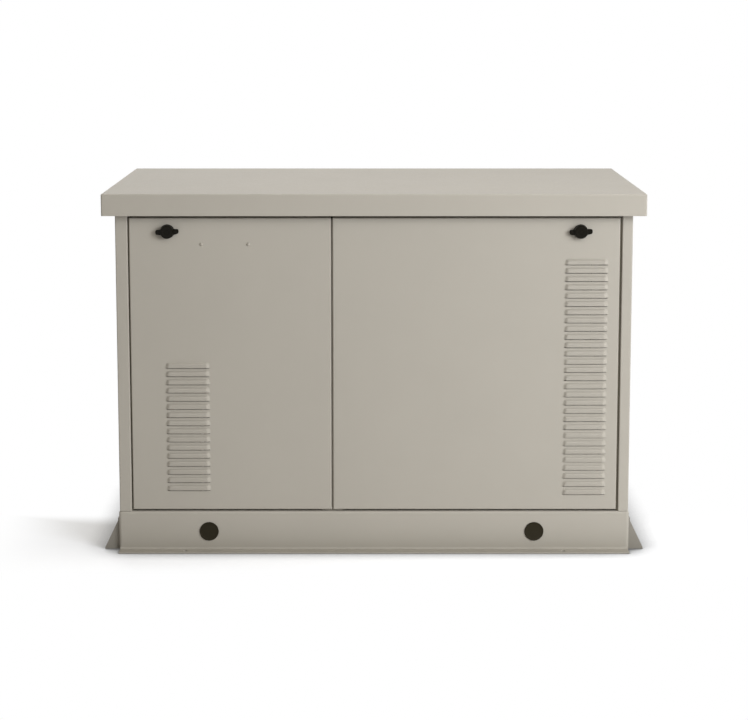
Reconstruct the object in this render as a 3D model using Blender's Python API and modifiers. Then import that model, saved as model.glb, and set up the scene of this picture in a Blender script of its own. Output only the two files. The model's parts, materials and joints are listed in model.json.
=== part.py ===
"""Home standby generator in a sheet-metal enclosure, as an assembly of separate named pieces.

Metres, +Z up, +X to the right of someone facing the front, and the front looks along -Y.
The origin is on the ground, in the middle of the outline.
Run with: blender --background --python part.py
"""

import math

import bmesh
import bpy
from mathutils import Matrix, Vector

# ---------------------------------------------------------------- driving dimensions
BODY_LENGTH = 1.148  # enclosure, left face to right face
BODY_DEPTH = 0.610  # enclosure, front face to rear face
BASE_OVER = 0.0025  # base walls beyond the enclosure at each end
BASE_HEIGHT = 0.090
BASE_SHEET = 0.003
BASE_LIP = 0.030  # outward lip on the ground, front and rear
FOOT_REACH = 0.0327  # foot bracket beyond the base wall
FOOT_RISE = 0.072
FOOT_INSET = 0.010  # front face of a foot bracket behind the enclosure's

FRAME_TOP = 0.803  # top of the side and rear panels, under the roof
PANEL_TOP = 0.7565
PANEL_LIFT = 0.004  # seam under the front panels
ROOF_TOP = 0.8115
ROOF_FLANGE = 0.0485
ROOF_OVERHANG = 0.027
SHEET = 0.0015
SEAT_GAP = 0.0003  # between pieces that bear on each other
PANEL_RETURN = 0.010  # turned-in edge of a front panel
POST_RETURN = 0.015

POST_LEFT = 0.0275  # front faces of the corner posts
POST_RIGHT = 0.0235
SEAM_LEFT = 0.003
SEAM_RIGHT = 0.0045
SEAM_MIDDLE = 0.0034
SEAM_X = -0.0938  # seam between the two front panels

LOUVRE_PITCH = 0.01865
LOUVRE_HEIGHT = 0.0130
LOUVRE_RISE = 0.0060  # how far a louvre stands out
LOUVRE_SKIN = 0.0012
LEFT_LOUVRES = (-0.417, 0.102, 16, 0.139)  # middle x, length, count, lowest edge
RIGHT_LOUVRES = (0.472, 0.100, 29, 0.130)

LATCH_X = 0.458
LATCH_Z = 0.726
LATCH_DISC_RADIUS = 0.016
LATCH_DISC_DEPTH = 0.005
LATCH_WING_SPAN = 0.052
LATCH_WING_DEPTH = 0.018
WING_TOP = 0.006  # above the latch axis
WING_TIP_LOW = -0.004
WING_ROOT_LOW = -0.009
LATCH_SHAFT_RADIUS = 0.004
CAM_LENGTH = 0.034
CAM_WIDTH = 0.012
CAM_CORNER = 0.003
CAM_DEPTH = (0.021, 0.025)  # front and back of a cam behind the front face
ROUND_CLEARANCE = 0.0005

KEEPER_START = 0.012  # from the latch axis towards the middle
KEEPER_WIDTH = 0.030
RAIL_DEPTH = (0.043, 0.073)  # front and back of the top rail behind the front face
KEEPER_DEPTH = 0.031  # back of a keeper behind the front face
KEEPER_FOOT = 0.026  # its flange under the roof
INSULATION_INSET = (0.014, 0.015)  # at the ends, and at the rear

PLUG_X = (-0.3725, 0.3615)
PLUG_Z = 0.0438
PLUG_RADIUS = 0.0215
PLUG_HOLE_RADIUS = 0.0190
PLUG_RISE = 0.0035  # a plug beyond the base wall
PLUG_SHANK = 0.007
ANCHOR_X = 0.426
ANCHOR_RADIUS = 0.0055
ANCHOR_SHARE = 0.55  # of the way out along the lip
FOOT_EDGE = 0.004  # height of a gusset at its outer end
FOOT_HOLE_RADIUS = 0.0045
FOOT_HOLE_INSET = 0.050

END_LOUVRES = {"left": (0.08, 0.42, 0.20, 8), "right": (0.0, 0.36, 0.24, 12)}  # middle Y, Z, length, count
REAR_LOUVRES = (-0.30, 0.42, 0.28, 12)  # middle X, Z, length, count
CENTRE_POST_WIDTH = 0.050
CENTRE_POST_DEPTH = 0.018
HOSE_HOLE = (0.150, 0.470)  # Y, Z of the hole in the bulkhead
HOSE_HOLE_RADIUS = 0.016

HINGE_X = 0.380
HINGE_BEHIND = 0.0265  # hinge axis behind the rear face
HINGE_BELOW = 0.006  # and below the roof's lower edge
HINGE_PIN_RADIUS = 0.0025
HINGE_KNUCKLE_RADIUS = 0.0045
HINGE_MIDDLE_LENGTH = 0.030
HINGE_OUTER_LENGTH = 0.016
HINGE_SHEET = 0.002
FRAME_LEAF_HEIGHT = 0.050
ROOF_LEAF_HEIGHT = 0.042

SHAFT_Z = 0.300
SHAFT_RADIUS = 0.018
SHAFT_X = (-0.086, 0.385)
CRANKCASE_X = (0.130, 0.300)
SUMP_HALF_Y = 0.130
SUMP_LOW_SIDE = 0.018
SUMP_HIGH_SIDE = 0.040
CYLINDER_XS = {"front": 0.200, "rear": 0.230}
DECK_DISTANCE = 0.100  # shaft axis to the seat of a cylinder
BARREL_LENGTH = 0.074
BARREL_RADIUS = 0.040
FIN_RADIUS = 0.052
FIN_COUNT = 6
HEAD_LENGTH = 0.058
HEAD_HALF = 0.054
MANIFOLD_Z = 0.532
MANIFOLD_RADIUS = 0.014
AIR_X = (0.130, 0.300)
AIR_HALF_Y = 0.100
AIR_LOW = 0.5463
AIR_BASE_HEIGHT = 0.026
AIR_HEIGHT = 0.070
AIR_KNOB_RADIUS = 0.015
AIR_KNOB_RISE = 0.012
STATOR_X = (-0.080, 0.1297)
STATOR_RADIUS = 0.108
STATOR_BORE = 0.076
ROTOR_X = (-0.055, 0.110)
ROTOR_RADIUS = 0.073
ROTOR_SHOULDER = (0.050, 0.012)  # radius and length of its stepped ends
STATOR_END = 0.015
STATOR_FOOT_X = (0.000, 0.050)
STATOR_FOOT_TOP = 0.206
FLYWHEEL_X = (0.315, 0.375)
FLYWHEEL_RADIUS = 0.105
FLYWHEEL_RIM = 0.014
FLYWHEEL_HUB_RADIUS = 0.032
BLADE_X = (0.325, 0.365)
BLADE_FROM = 0.045
BLADE_HALF = 0.002
BLADE_COUNT = 12
SHROUD_X = (0.3025, 0.402)
SHROUD_HALF_Y = 0.125
SHROUD_TOP = 0.425
SHROUD_SHEET = 0.0025
INTAKE_RADIUS = 0.085
CRADLE_X = (-0.070, 0.425)
CRADLE_HALF_Y = 0.140
CRADLE_RAIL = 0.040
CRADLE_HEIGHT = 0.025
ISOLATOR_HEIGHT = 0.0345
ISOLATOR_RADIUS = 0.018
ISOLATOR_WAIST = 0.8  # of its radius
ISOLATOR_INSET = (0.030, 0.020)

MUFFLER_X = 0.492
MUFFLER_Z = 0.345
MUFFLER_RADIUS = 0.053
MUFFLER_HALF_LENGTH = 0.200
MUFFLER_BRACKET_YS = (-0.150, 0.130)
MUFFLER_BRACKET = (0.040, 0.020)  # length and depth
TAIL_Y = 0.060
TAIL_RADIUS = 0.021
TAIL_END = 0.5495
PIPE_RADIUS = 0.014
PIPE_Y = 0.172  # where both pipes run beside the blower and into the muffler
PIPE_BEND = ((0.330, 0.410), (0.395, 0.355))  # X, Z of two points on their way down
PIPE_STRAIGHT = 0.025

CONTROL_X = (-0.340, -0.0943)
CONTROL_Y = (-0.200, -0.060)
CONTROL_LOW = 0.610
CONTROL_FACE = ((-0.120, 0.745), (-0.200, 0.680))  # sloping face, its top and bottom in Y, Z
BUTTON_RADIUS = 0.006
BUTTON_DEPTH = 0.006
BUTTON_SEAT = 0.004  # of that below the face
BUTTON_XS = (-0.160, -0.138, -0.116)
BREAKER_X = (-0.200, -0.0943)
BREAKER_Y = (-0.190, -0.090)
BREAKER_Z = (0.450, 0.570)
TOGGLE_TILT = math.radians(20)
TOGGLE_RADIUS = 0.009
TOGGLE_HALF = 0.008
TOGGLE_INSET = 0.010  # its axis behind the breaker's face
TOGGLE_SLOT_HALF = (0.0085, 0.020)
LEVER_LENGTH = 0.030
LEVER_HALF = (0.006, 0.004)

BATTERY_LOW = (-0.500, -0.130)
BATTERY_HIGH = (-0.300, 0.045)
BATTERY_HEIGHT = 0.175
BATTERY_POSTS = ((-0.475, -0.100), (-0.325, -0.100))
BATTERY_POST_RADIUS = 0.008
BATTERY_POST_TOP = 0.282

REGULATOR_X = -0.230
REGULATOR_Y = (0.100, 0.145)
REGULATOR_Z = 0.250
REGULATOR_RADIUS = 0.055
REGULATOR_BRACKET_TOP = 0.220
OUTLET_RADIUS = 0.012
OUTLET_TOP = 0.325
HOSE_RADIUS = 0.009

# ---------------------------------------------------------------- places worked out from them
HALF_X = BODY_LENGTH / 2
HALF_Y = BODY_DEPTH / 2
BASE_HALF_X = HALF_X + BASE_OVER
BASE_HALF_Y = HALF_Y + 0.0015
LIP_EDGE = BASE_HALF_Y + BASE_LIP
FLOOR = BASE_HEIGHT + SEAT_GAP  # where pieces stand on the base
ROOF_LOW = ROOF_TOP - ROOF_FLANGE
ROOF_UNDER = ROOF_TOP - SHEET - SEAT_GAP
ROOF_HALF_X = HALF_X + ROOF_OVERHANG
ROOF_HALF_Y = HALF_Y + ROOF_OVERHANG
LEFT_PANEL_X = (-HALF_X + POST_LEFT + SEAM_LEFT, SEAM_X - SEAM_MIDDLE / 2)
RIGHT_PANEL_X = (SEAM_X + SEAM_MIDDLE / 2, HALF_X - POST_RIGHT - SEAM_RIGHT)
HINGE_AXIS = Vector((0, HALF_Y + HINGE_BEHIND, ROOF_LOW - HINGE_BELOW))
CRADLE_BOTTOM = FLOOR + ISOLATOR_HEIGHT + SEAT_GAP
CRADLE_TOP = CRADLE_BOTTOM + CRADLE_HEIGHT
ENGINE_FOOT = CRADLE_TOP + SEAT_GAP
RAIL_BOTTOM = 0.7598
RAIL_Y = (-HALF_Y + RAIL_DEPTH[0], -HALF_Y + RAIL_DEPTH[1])
PANEL_BOTTOM = BASE_HEIGHT + PANEL_LIFT
CAM_Y = (-HALF_Y + CAM_DEPTH[0], -HALF_Y + CAM_DEPTH[1])
KEEPER_BACK = -HALF_Y + KEEPER_DEPTH
INSULATION_HALF_X = HALF_X - INSULATION_INSET[0]
INSULATION_REAR = HALF_Y - INSULATION_INSET[1]
BULKHEAD_X = (SEAM_X, SEAM_X + SHEET)

# rotations that lay a flat outline in a plane, with its thickness along the axis left over
LEVEL_XY = Matrix.Identity(4)
UPRIGHT_YZ = Matrix(((0, 0, 1), (1, 0, 0), (0, 1, 0))).to_4x4()
UPRIGHT_XZ = Matrix(((1, 0, 0), (0, 0, -1), (0, 1, 0))).to_4x4()

# ---------------------------------------------------------------- scene and materials
for old in list(bpy.data.objects):
    bpy.data.objects.remove(old)

parts = bpy.data.collections.new("standby_generator")
cutters = bpy.data.collections.new("cutters")
bpy.context.scene.collection.children.link(parts)
bpy.context.scene.collection.children.link(cutters)


def make_material(name, colour, roughness, metallic):
    material = bpy.data.materials.new(name)
    material.use_nodes = True
    shader = material.node_tree.nodes["Principled BSDF"]
    shader.inputs["Base Color"].default_value = (*colour, 1)
    shader.inputs["Roughness"].default_value = roughness
    shader.inputs["Metallic"].default_value = metallic
    return material


PAINT = make_material("enclosure_paint", (0.44, 0.41, 0.34), 0.45, 0.0)
BLACK_PLASTIC = make_material("black_plastic", (0.02, 0.02, 0.018), 0.4, 0.0)
PLATED = make_material("plated_steel", (0.55, 0.55, 0.52), 0.35, 1.0)
CAST = make_material("cast_aluminium", (0.50, 0.50, 0.50), 0.5, 1.0)
ENAMEL = make_material("black_enamel", (0.03, 0.03, 0.03), 0.35, 0.0)
RUBBER = make_material("rubber", (0.02, 0.02, 0.02), 0.8, 0.0)
EXHAUST = make_material("aluminised_steel", (0.42, 0.40, 0.37), 0.45, 1.0)
FOAM = make_material("grey_foam", (0.12, 0.12, 0.12), 0.9, 0.0)
BUTTON_GREY = make_material("button_grey", (0.35, 0.35, 0.36), 0.5, 0.0)


# ---------------------------------------------------------------- modelling helpers
def add_mesh(name, mesh, material=None, place=LEVEL_XY):
    obj = bpy.data.objects.new(name, mesh)
    obj.matrix_world = place
    if material is None:
        cutters.objects.link(obj)
        obj.hide_render = True
        obj.display_type = "WIRE"
    else:
        parts.objects.link(obj)
        mesh.materials.append(material)
    return obj


def mesh_of(name, bm):
    mesh = bpy.data.meshes.new(name)
    bm.to_mesh(mesh)
    bm.free()
    return mesh


def box(name, low, high, material=None, bevel=0.0):
    """A block between two corners, with its edges bevelled if a width is given."""
    low, high = Vector(low), Vector(high)
    bm = bmesh.new()
    bmesh.ops.create_cube(bm, size=1)
    bmesh.ops.scale(bm, vec=high - low, verts=bm.verts)
    obj = add_mesh(name, mesh_of(name, bm), material, Matrix.Translation((low + high) / 2))
    if bevel:
        edges = obj.modifiers.new("edges", "BEVEL")
        edges.width = bevel
        edges.segments = 1
    return obj


def cylinder(name, radius, start, end, material=None, segments=16):
    """A round bar from one point to another."""
    start, end = Vector(start), Vector(end)
    bm = bmesh.new()
    bmesh.ops.create_cone(
        bm,
        cap_ends=True,
        segments=segments,
        radius1=radius,
        radius2=radius,
        depth=(end - start).length,
    )
    turn = (end - start).to_track_quat("Z", "X").to_matrix().to_4x4()
    return add_mesh(name, mesh_of(name, bm), material, Matrix.Translation((start + end) / 2) @ turn)


def outline(name, points, low, high, plane, material=None):
    """A flat outline, thick from low to high along the axis that its plane leaves over."""
    curve = bpy.data.curves.new(name, "CURVE")
    curve.dimensions = "2D"
    curve.fill_mode = "BOTH"
    curve.extrude = (high - low) / 2
    spline = curve.splines.new("POLY")
    spline.points.add(len(points) - 1)
    for point, (x, y) in zip(spline.points, points):
        point.co = (x, y, 0, 1)
    spline.use_cyclic_u = True
    drawn = bpy.data.objects.new(name + "_curve", curve)
    parts.objects.link(drawn)
    graph = bpy.context.evaluated_depsgraph_get()
    mesh = bpy.data.meshes.new_from_object(drawn.evaluated_get(graph))
    bpy.data.objects.remove(drawn)
    bm = bmesh.new()
    bm.from_mesh(mesh)
    bmesh.ops.remove_doubles(bm, verts=bm.verts, dist=1e-6)
    bmesh.ops.recalc_face_normals(bm, faces=bm.faces)
    bm.to_mesh(mesh)
    bm.free()
    mesh.materials.clear()
    middle = (low + high) / 2
    along = Vector((0, 0, -middle if plane is UPRIGHT_XZ else middle))
    return add_mesh(name, mesh, material, plane @ Matrix.Translation(along))


def bent(path, thickness):
    """Outline of a folded sheet: the path, and the same path set off to its left."""
    points = [Vector(p) for p in path]
    offset = []
    for i, p in enumerate(points):
        before = (p - points[i - 1]).normalized() if i else None
        after = (points[i + 1] - p).normalized() if i + 1 < len(points) else None
        before, after = before or after, after or before
        left_before = Vector((-before.y, before.x))
        left_after = Vector((-after.y, after.x))
        mitre = (left_before + left_after).normalized()
        offset.append(p + mitre * thickness / mitre.dot(left_after))
    return [tuple(p) for p in points + offset[::-1]]


def tray(name, low, high, open_side, material, sheet=SHEET):
    """Five walls of a block, folded from sheet: the wall that looks along open_side is left out."""
    low, high = Vector(low), Vector(high)
    bm = bmesh.new()
    bmesh.ops.create_cube(bm, size=1)
    bmesh.ops.scale(bm, vec=high - low, verts=bm.verts)
    bm.normal_update()
    facing = [f for f in bm.faces if f.normal.dot(Vector(open_side)) > 0.9]
    bmesh.ops.delete(bm, geom=facing, context="FACES_ONLY")
    obj = add_mesh(name, mesh_of(name, bm), material, Matrix.Translation((low + high) / 2))
    wall = obj.modifiers.new("sheet", "SOLIDIFY")
    wall.thickness = sheet
    wall.offset = -1
    wall.use_even_offset = True
    return obj


def turned(name, profile, start, direction, material=None, steps=20):
    """A turned shape. The profile is (radius, distance along the axis), down its outer side first."""
    mesh = bpy.data.meshes.new(name)
    count = len(profile)
    edges = [(i, i + 1) for i in range(count - 1)]
    if profile[0][0] > 0 or profile[-1][0] > 0:
        edges.append((count - 1, 0))
    mesh.from_pydata([(r, 0, along) for r, along in profile], edges, [])
    turn = Vector(direction).to_track_quat("Z", "X").to_matrix().to_4x4()
    obj = add_mesh(name, mesh, material, Matrix.Translation(Vector(start)) @ turn)
    screw = obj.modifiers.new("turn", "SCREW")
    screw.steps = screw.render_steps = steps
    screw.use_merge_vertices = True
    screw.merge_threshold = 0.00005
    screw.use_smooth_shade = False
    return obj


def tube(name, route, radius, material):
    """A pipe or hose, straight at both ends and on a smooth curve through its route between them."""
    points = [Vector(p) for p in route]
    smooth = [points[0]]
    for a, b, c, d in zip(points, points[1:], points[2:], points[3:]):
        pieces = max(2, round((c - b).length / (2.5 * radius)))
        for i in range(pieces):
            t = i / pieces
            smooth.append(
                0.5
                * (
                    2 * b
                    + (c - a) * t
                    + (2 * a - 5 * b + 4 * c - d) * t * t
                    + (3 * b - a - 3 * c + d) * t**3
                )
            )
    smooth += points[-2:]
    curve = bpy.data.curves.new(name, "CURVE")
    curve.dimensions = "3D"
    curve.bevel_depth = radius
    curve.bevel_resolution = 2
    curve.use_fill_caps = True
    spline = curve.splines.new("POLY")
    spline.points.add(len(smooth) - 1)
    for point, co in zip(spline.points, smooth):
        point.co = (*co, 1)
    curve.materials.append(material)
    obj = bpy.data.objects.new(name, curve)
    parts.objects.link(obj)
    return obj


def boolean(target, operation, others):
    for other in others:
        step = target.modifiers.new(operation.lower(), "BOOLEAN")
        step.operation = operation
        step.solver = "EXACT"
        step.object = other


def cut(target, *others):
    boolean(target, "DIFFERENCE", others)


def join(target, *others):
    boolean(target, "UNION", others)


def pivot(name, place, *pieces):
    """An empty on a joint's axis, which the joint's pieces hang from."""
    empty = bpy.data.objects.new(name, None)
    empty.empty_display_size = 0.05
    empty.location = place
    parts.objects.link(empty)
    bpy.context.view_layer.update()
    for piece in pieces:
        piece.parent = empty
        piece.matrix_parent_inverse = empty.matrix_world.inverted()


def mirrored(path, side):
    """The path on the given side of the middle: -1 keeps it, 1 reflects it."""
    return [(-side * x, y) for x, y in path]


# ---------------------------------------------------------------- louvres
def wedges(name, centre, length, count, skin, facing):
    """A column of louvre hoods, or of the hollows under them when a skin is left.

    Each is a wedge that rises from the sheet at its top to its full height at its bottom,
    with slanting ends. The centre is on the sheet's outer face.
    """
    out = Vector(facing)
    up = Vector((0, 0, 1))
    along = up.cross(out)
    back = SHEET + 0.001 if skin else SHEET * 0.6
    top = LOUVRE_HEIGHT / 2 - 2.2 * skin
    bottom = -LOUVRE_HEIGHT / 2 - (0.0008 if skin else 0)
    half_low = length / 2 - skin
    half_high = half_low - LOUVRE_HEIGHT * 0.35
    rise = LOUVRE_RISE - skin
    bm = bmesh.new()
    for i in range(count):
        middle = Vector(centre) + up * LOUVRE_PITCH * ((count - 1) / 2 - i)
        corners = []
        for side in (-1, 1):
            high, low = along * side * half_high + up * top, along * side * half_low + up * bottom
            corners += [high, high - out * back, low + out * rise, low - out * back]
        made = [bm.verts.new(middle + c) for c in corners]
        bmesh.ops.convex_hull(bm, input=made)
    return add_mesh(name, mesh_of(name, bm))


def louvre(panel, centre, length, count, facing):
    join(panel, wedges(panel.name + "_hoods", centre, length, count, 0, facing))
    cut(panel, wedges(panel.name + "_slots", centre, length, count, LOUVRE_SKIN, facing))


def front_louvre(panel, column):
    x, length, count, lowest = column
    middle_z = lowest + LOUVRE_HEIGHT / 2 + LOUVRE_PITCH * (count - 1) / 2
    louvre(panel, (x, -HALF_Y, middle_z), length, count, (0, -1, 0))


# ---------------------------------------------------------------- base and feet
base_path = [
    (-LIP_EDGE, 0),
    (-BASE_HALF_Y + BASE_SHEET, 0),
    (-BASE_HALF_Y + BASE_SHEET, BASE_HEIGHT - BASE_SHEET),
    (BASE_HALF_Y - BASE_SHEET, BASE_HEIGHT - BASE_SHEET),
    (BASE_HALF_Y - BASE_SHEET, 0),
    (LIP_EDGE, 0),
]
base_pan = outline(
    "base_pan", bent(base_path, BASE_SHEET), -BASE_HALF_X, BASE_HALF_X, UPRIGHT_YZ, PAINT
)
for end in (-1, 1):
    edge, inner = end * BASE_HALF_X, end * (BASE_HALF_X - BASE_SHEET)
    join(
        base_pan,
        box(
            "base_end_wall",
            (min(edge, inner), -BASE_HALF_Y, 0),
            (max(edge, inner), BASE_HALF_Y, BASE_HEIGHT),
        ),
    )
for side_name, side in (("front", -1), ("rear", 1)):
    wall = side * BASE_HALF_Y
    for x in PLUG_X:
        cut(
            base_pan,
            cylinder(
                "lifting_hole",
                PLUG_HOLE_RADIUS,
                (x, wall - 0.02, PLUG_Z),
                (x, wall + 0.02, PLUG_Z),
                segments=20,
            ),
        )
        where = "left" if x < 0 else "right"
        face = SEAT_GAP
        shank = PLUG_HOLE_RADIUS - 2 * SEAT_GAP
        turned(
            f"lifting_hole_plug_{side_name}_{where}",
            [
                (0, PLUG_RISE),
                (PLUG_RADIUS - 0.003, PLUG_RISE - 0.0005),
                (PLUG_RADIUS, face + 0.001),
                (PLUG_RADIUS, face),
                (shank, face),
                (shank, -PLUG_SHANK),
                (0, -PLUG_SHANK),
            ],
            (x, wall, PLUG_Z),
            (0, side, 0),
            BLACK_PLASTIC,
        )
    for x in (-ANCHOR_X, ANCHOR_X):
        y = side * (BASE_HALF_Y + BASE_LIP * ANCHOR_SHARE)
        cut(base_pan, cylinder("anchor_hole", ANCHOR_RADIUS, (x, y, -0.01), (x, y, 0.01), segments=12))

for side_name, side in (("left", -1), ("right", 1)):
    inner = side * (BASE_HALF_X + SEAT_GAP)
    outer = side * (BASE_HALF_X + FOOT_REACH + SEAT_GAP)
    plate = inner + side * BASE_SHEET
    foot_half_y = HALF_Y - FOOT_INSET
    foot = box(
        f"foot_bracket_{side_name}",
        (min(inner, plate), -foot_half_y, 0),
        (max(inner, plate), foot_half_y, FOOT_RISE),
        PAINT,
    )
    join(
        foot,
        box(
            "foot_flange",
            (min(inner, outer), -foot_half_y, 0),
            (max(inner, outer), foot_half_y, BASE_SHEET),
        ),
    )
    for y in (-foot_half_y, foot_half_y - BASE_SHEET):
        gusset = [(inner, FOOT_RISE), (inner, 0), (outer, 0), (outer, FOOT_EDGE)]
        join(foot, outline("foot_gusset", gusset, y, y + BASE_SHEET, UPRIGHT_XZ))
    for y in (-foot_half_y + FOOT_HOLE_INSET, foot_half_y - FOOT_HOLE_INSET):
        x = (plate + outer) / 2
        cut(foot, cylinder("foot_hole", FOOT_HOLE_RADIUS, (x, y, -0.01), (x, y, 0.01), segments=12))

# ---------------------------------------------------------------- enclosure frame and fixed panels
end_panels = {}
for side_name, side, post in (("left", -1, POST_LEFT), ("right", 1, POST_RIGHT)):
    seam = -HALF_X + post
    path = [
        (seam, -HALF_Y + POST_RETURN),
        (seam, -HALF_Y),
        (-HALF_X, -HALF_Y),
        (-HALF_X, HALF_Y),
        (seam, HALF_Y),
        (seam, HALF_Y - POST_RETURN),
    ]
    end_panels[side_name] = outline(
        f"end_panel_{side_name}",
        bent(mirrored(path, side), side * SHEET),
        FLOOR,
        FRAME_TOP,
        LEVEL_XY,
        PAINT,
    )
for side_name, side in (("right", 1), ("left", -1)):
    y, z, length, count = END_LOUVRES[side_name]
    louvre(end_panels[side_name], (side * HALF_X, y, z), length, count, (side, 0, 0))

rear_left = -HALF_X + POST_LEFT + SEAM_LEFT
rear_right = HALF_X - POST_RIGHT - SEAM_LEFT
rear_path = [
    (rear_left, HALF_Y - POST_RETURN),
    (rear_left, HALF_Y),
    (rear_right, HALF_Y),
    (rear_right, HALF_Y - POST_RETURN),
]
rear_panel = outline("rear_panel", bent(rear_path, -SHEET), FLOOR, FRAME_TOP, LEVEL_XY, PAINT)
x, z, length, count = REAR_LOUVRES
louvre(rear_panel, (x, HALF_Y, z), length, count, (0, 1, 0))

post_front = -HALF_Y + PANEL_RETURN + SEAT_GAP
post_left, post_right = SEAM_X - CENTRE_POST_WIDTH / 2, SEAM_X + CENTRE_POST_WIDTH / 2
post_path = [
    (post_left, post_front + CENTRE_POST_DEPTH),
    (post_left, post_front),
    (post_right, post_front),
    (post_right, post_front + CENTRE_POST_DEPTH),
]
outline("centre_post", bent(post_path, SHEET), FLOOR, RAIL_BOTTOM - SEAT_GAP, LEVEL_XY, PAINT)

rail_path = [
    (RAIL_Y[1], RAIL_BOTTOM),
    (RAIL_Y[0], RAIL_BOTTOM),
    (RAIL_Y[0], FRAME_TOP),
    (RAIL_Y[1], FRAME_TOP),
]
rail_end = HALF_X - SHEET - SEAT_GAP
outline("front_top_rail", bent(rail_path, -SHEET), -rail_end, rail_end, UPRIGHT_YZ, PAINT)

bulkhead = box(
    "bulkhead",
    (BULKHEAD_X[0], post_front + SHEET + SEAT_GAP, FLOOR),
    (BULKHEAD_X[1], HALF_Y - SHEET - SEAT_GAP, RAIL_BOTTOM - SEAT_GAP),
    PAINT,
)
cut(
    bulkhead,
    cylinder(
        "hose_hole",
        HOSE_HOLE_RADIUS,
        (BULKHEAD_X[0] - 0.02, *HOSE_HOLE),
        (BULKHEAD_X[1] + 0.02, *HOSE_HOLE),
    ),
)

# ---------------------------------------------------------------- front panels and latches
for side_name, side, span, column in (
    ("left", -1, LEFT_PANEL_X, LEFT_LOUVRES),
    ("right", 1, RIGHT_PANEL_X, RIGHT_LOUVRES),
):
    panel = tray(
        f"front_panel_{side_name}",
        (span[0], -HALF_Y, PANEL_BOTTOM),
        (span[1], -HALF_Y + PANEL_RETURN, PANEL_TOP),
        (0, 1, 0),
        PAINT,
    )
    front_louvre(panel, column)
    x = side * LATCH_X
    cut(
        panel,
        cylinder(
            "latch_hole",
            LATCH_SHAFT_RADIUS + ROUND_CLEARANCE,
            (x, -HALF_Y - 0.01, LATCH_Z),
            (x, -HALF_Y + 0.01, LATCH_Z),
        ),
    )
    disc_back = -HALF_Y - SEAT_GAP
    disc_front = disc_back - LATCH_DISC_DEPTH
    knob = cylinder(
        f"latch_knob_{side_name}",
        LATCH_DISC_RADIUS,
        (x, disc_back, LATCH_Z),
        (x, disc_front, LATCH_Z),
        BLACK_PLASTIC,
        segments=24,
    )
    tip = LATCH_WING_SPAN / 2
    root = tip * 0.4
    wing = [
        (x - tip, LATCH_Z + WING_TOP),
        (x - tip, LATCH_Z + WING_TIP_LOW),
        (x - root, LATCH_Z + WING_ROOT_LOW),
        (x + root, LATCH_Z + WING_ROOT_LOW),
        (x + tip, LATCH_Z + WING_TIP_LOW),
        (x + tip, LATCH_Z + WING_TOP),
    ]
    join(
        knob,
        outline("latch_wing", wing, disc_back - LATCH_WING_DEPTH, disc_front + 0.001, UPRIGHT_XZ),
        cylinder(
            "latch_shaft",
            LATCH_SHAFT_RADIUS,
            (x, disc_back - 0.002, LATCH_Z),
            (x, CAM_Y[1] + 0.001, LATCH_Z),
        ),
    )
    half = CAM_WIDTH / 2
    cam_top = LATCH_Z + CAM_LENGTH
    cam = outline(
        f"latch_cam_{side_name}",
        [
            (x - half, LATCH_Z - half),
            (x + half, LATCH_Z - half),
            (x + half, cam_top - CAM_CORNER),
            (x + half - CAM_CORNER, cam_top),
            (x - half + CAM_CORNER, cam_top),
            (x - half, cam_top - CAM_CORNER),
        ],
        *CAM_Y,
        UPRIGHT_XZ,
        PLATED,
    )
    cut(
        cam,
        cylinder(
            "cam_bore",
            LATCH_SHAFT_RADIUS + SEAT_GAP,
            (x, CAM_Y[0] - 0.01, LATCH_Z),
            (x, CAM_Y[1] + 0.01, LATCH_Z),
        ),
    )
    pivot(f"latch_{side_name}_axis", (x, -HALF_Y, LATCH_Z), knob, cam)

    near = x - side * KEEPER_START
    far = near - side * KEEPER_WIDTH
    keeper_lip = LATCH_Z - CAM_WIDTH / 2 - SHEET - 0.0005
    keeper_path = [
        (KEEPER_BACK - KEEPER_FOOT, ROOF_UNDER),
        (KEEPER_BACK, ROOF_UNDER),
        (KEEPER_BACK, keeper_lip),
        (CAM_Y[0] - 0.002, keeper_lip),
    ]
    outline(
        f"latch_keeper_{side_name}",
        bent(keeper_path, -SHEET),
        min(near, far),
        max(near, far),
        UPRIGHT_YZ,
        PLATED,
    )

# ---------------------------------------------------------------- roof and its hinges
roof_panel = tray(
    "roof_panel",
    (-ROOF_HALF_X, -ROOF_HALF_Y, ROOF_LOW),
    (ROOF_HALF_X, ROOF_HALF_Y, ROOF_TOP),
    (0, 0, -1),
    PAINT,
)
roof_insulation = box(
    "roof_insulation",
    (-INSULATION_HALF_X, KEEPER_BACK + 0.002, FRAME_TOP + 0.0007),
    (INSULATION_HALF_X, INSULATION_REAR, ROOF_UNDER),
    FOAM,
)
roof_pieces = [roof_panel, roof_insulation]
roof_pieces += [bpy.data.objects[f"latch_keeper_{s}"] for s in ("left", "right")]

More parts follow.
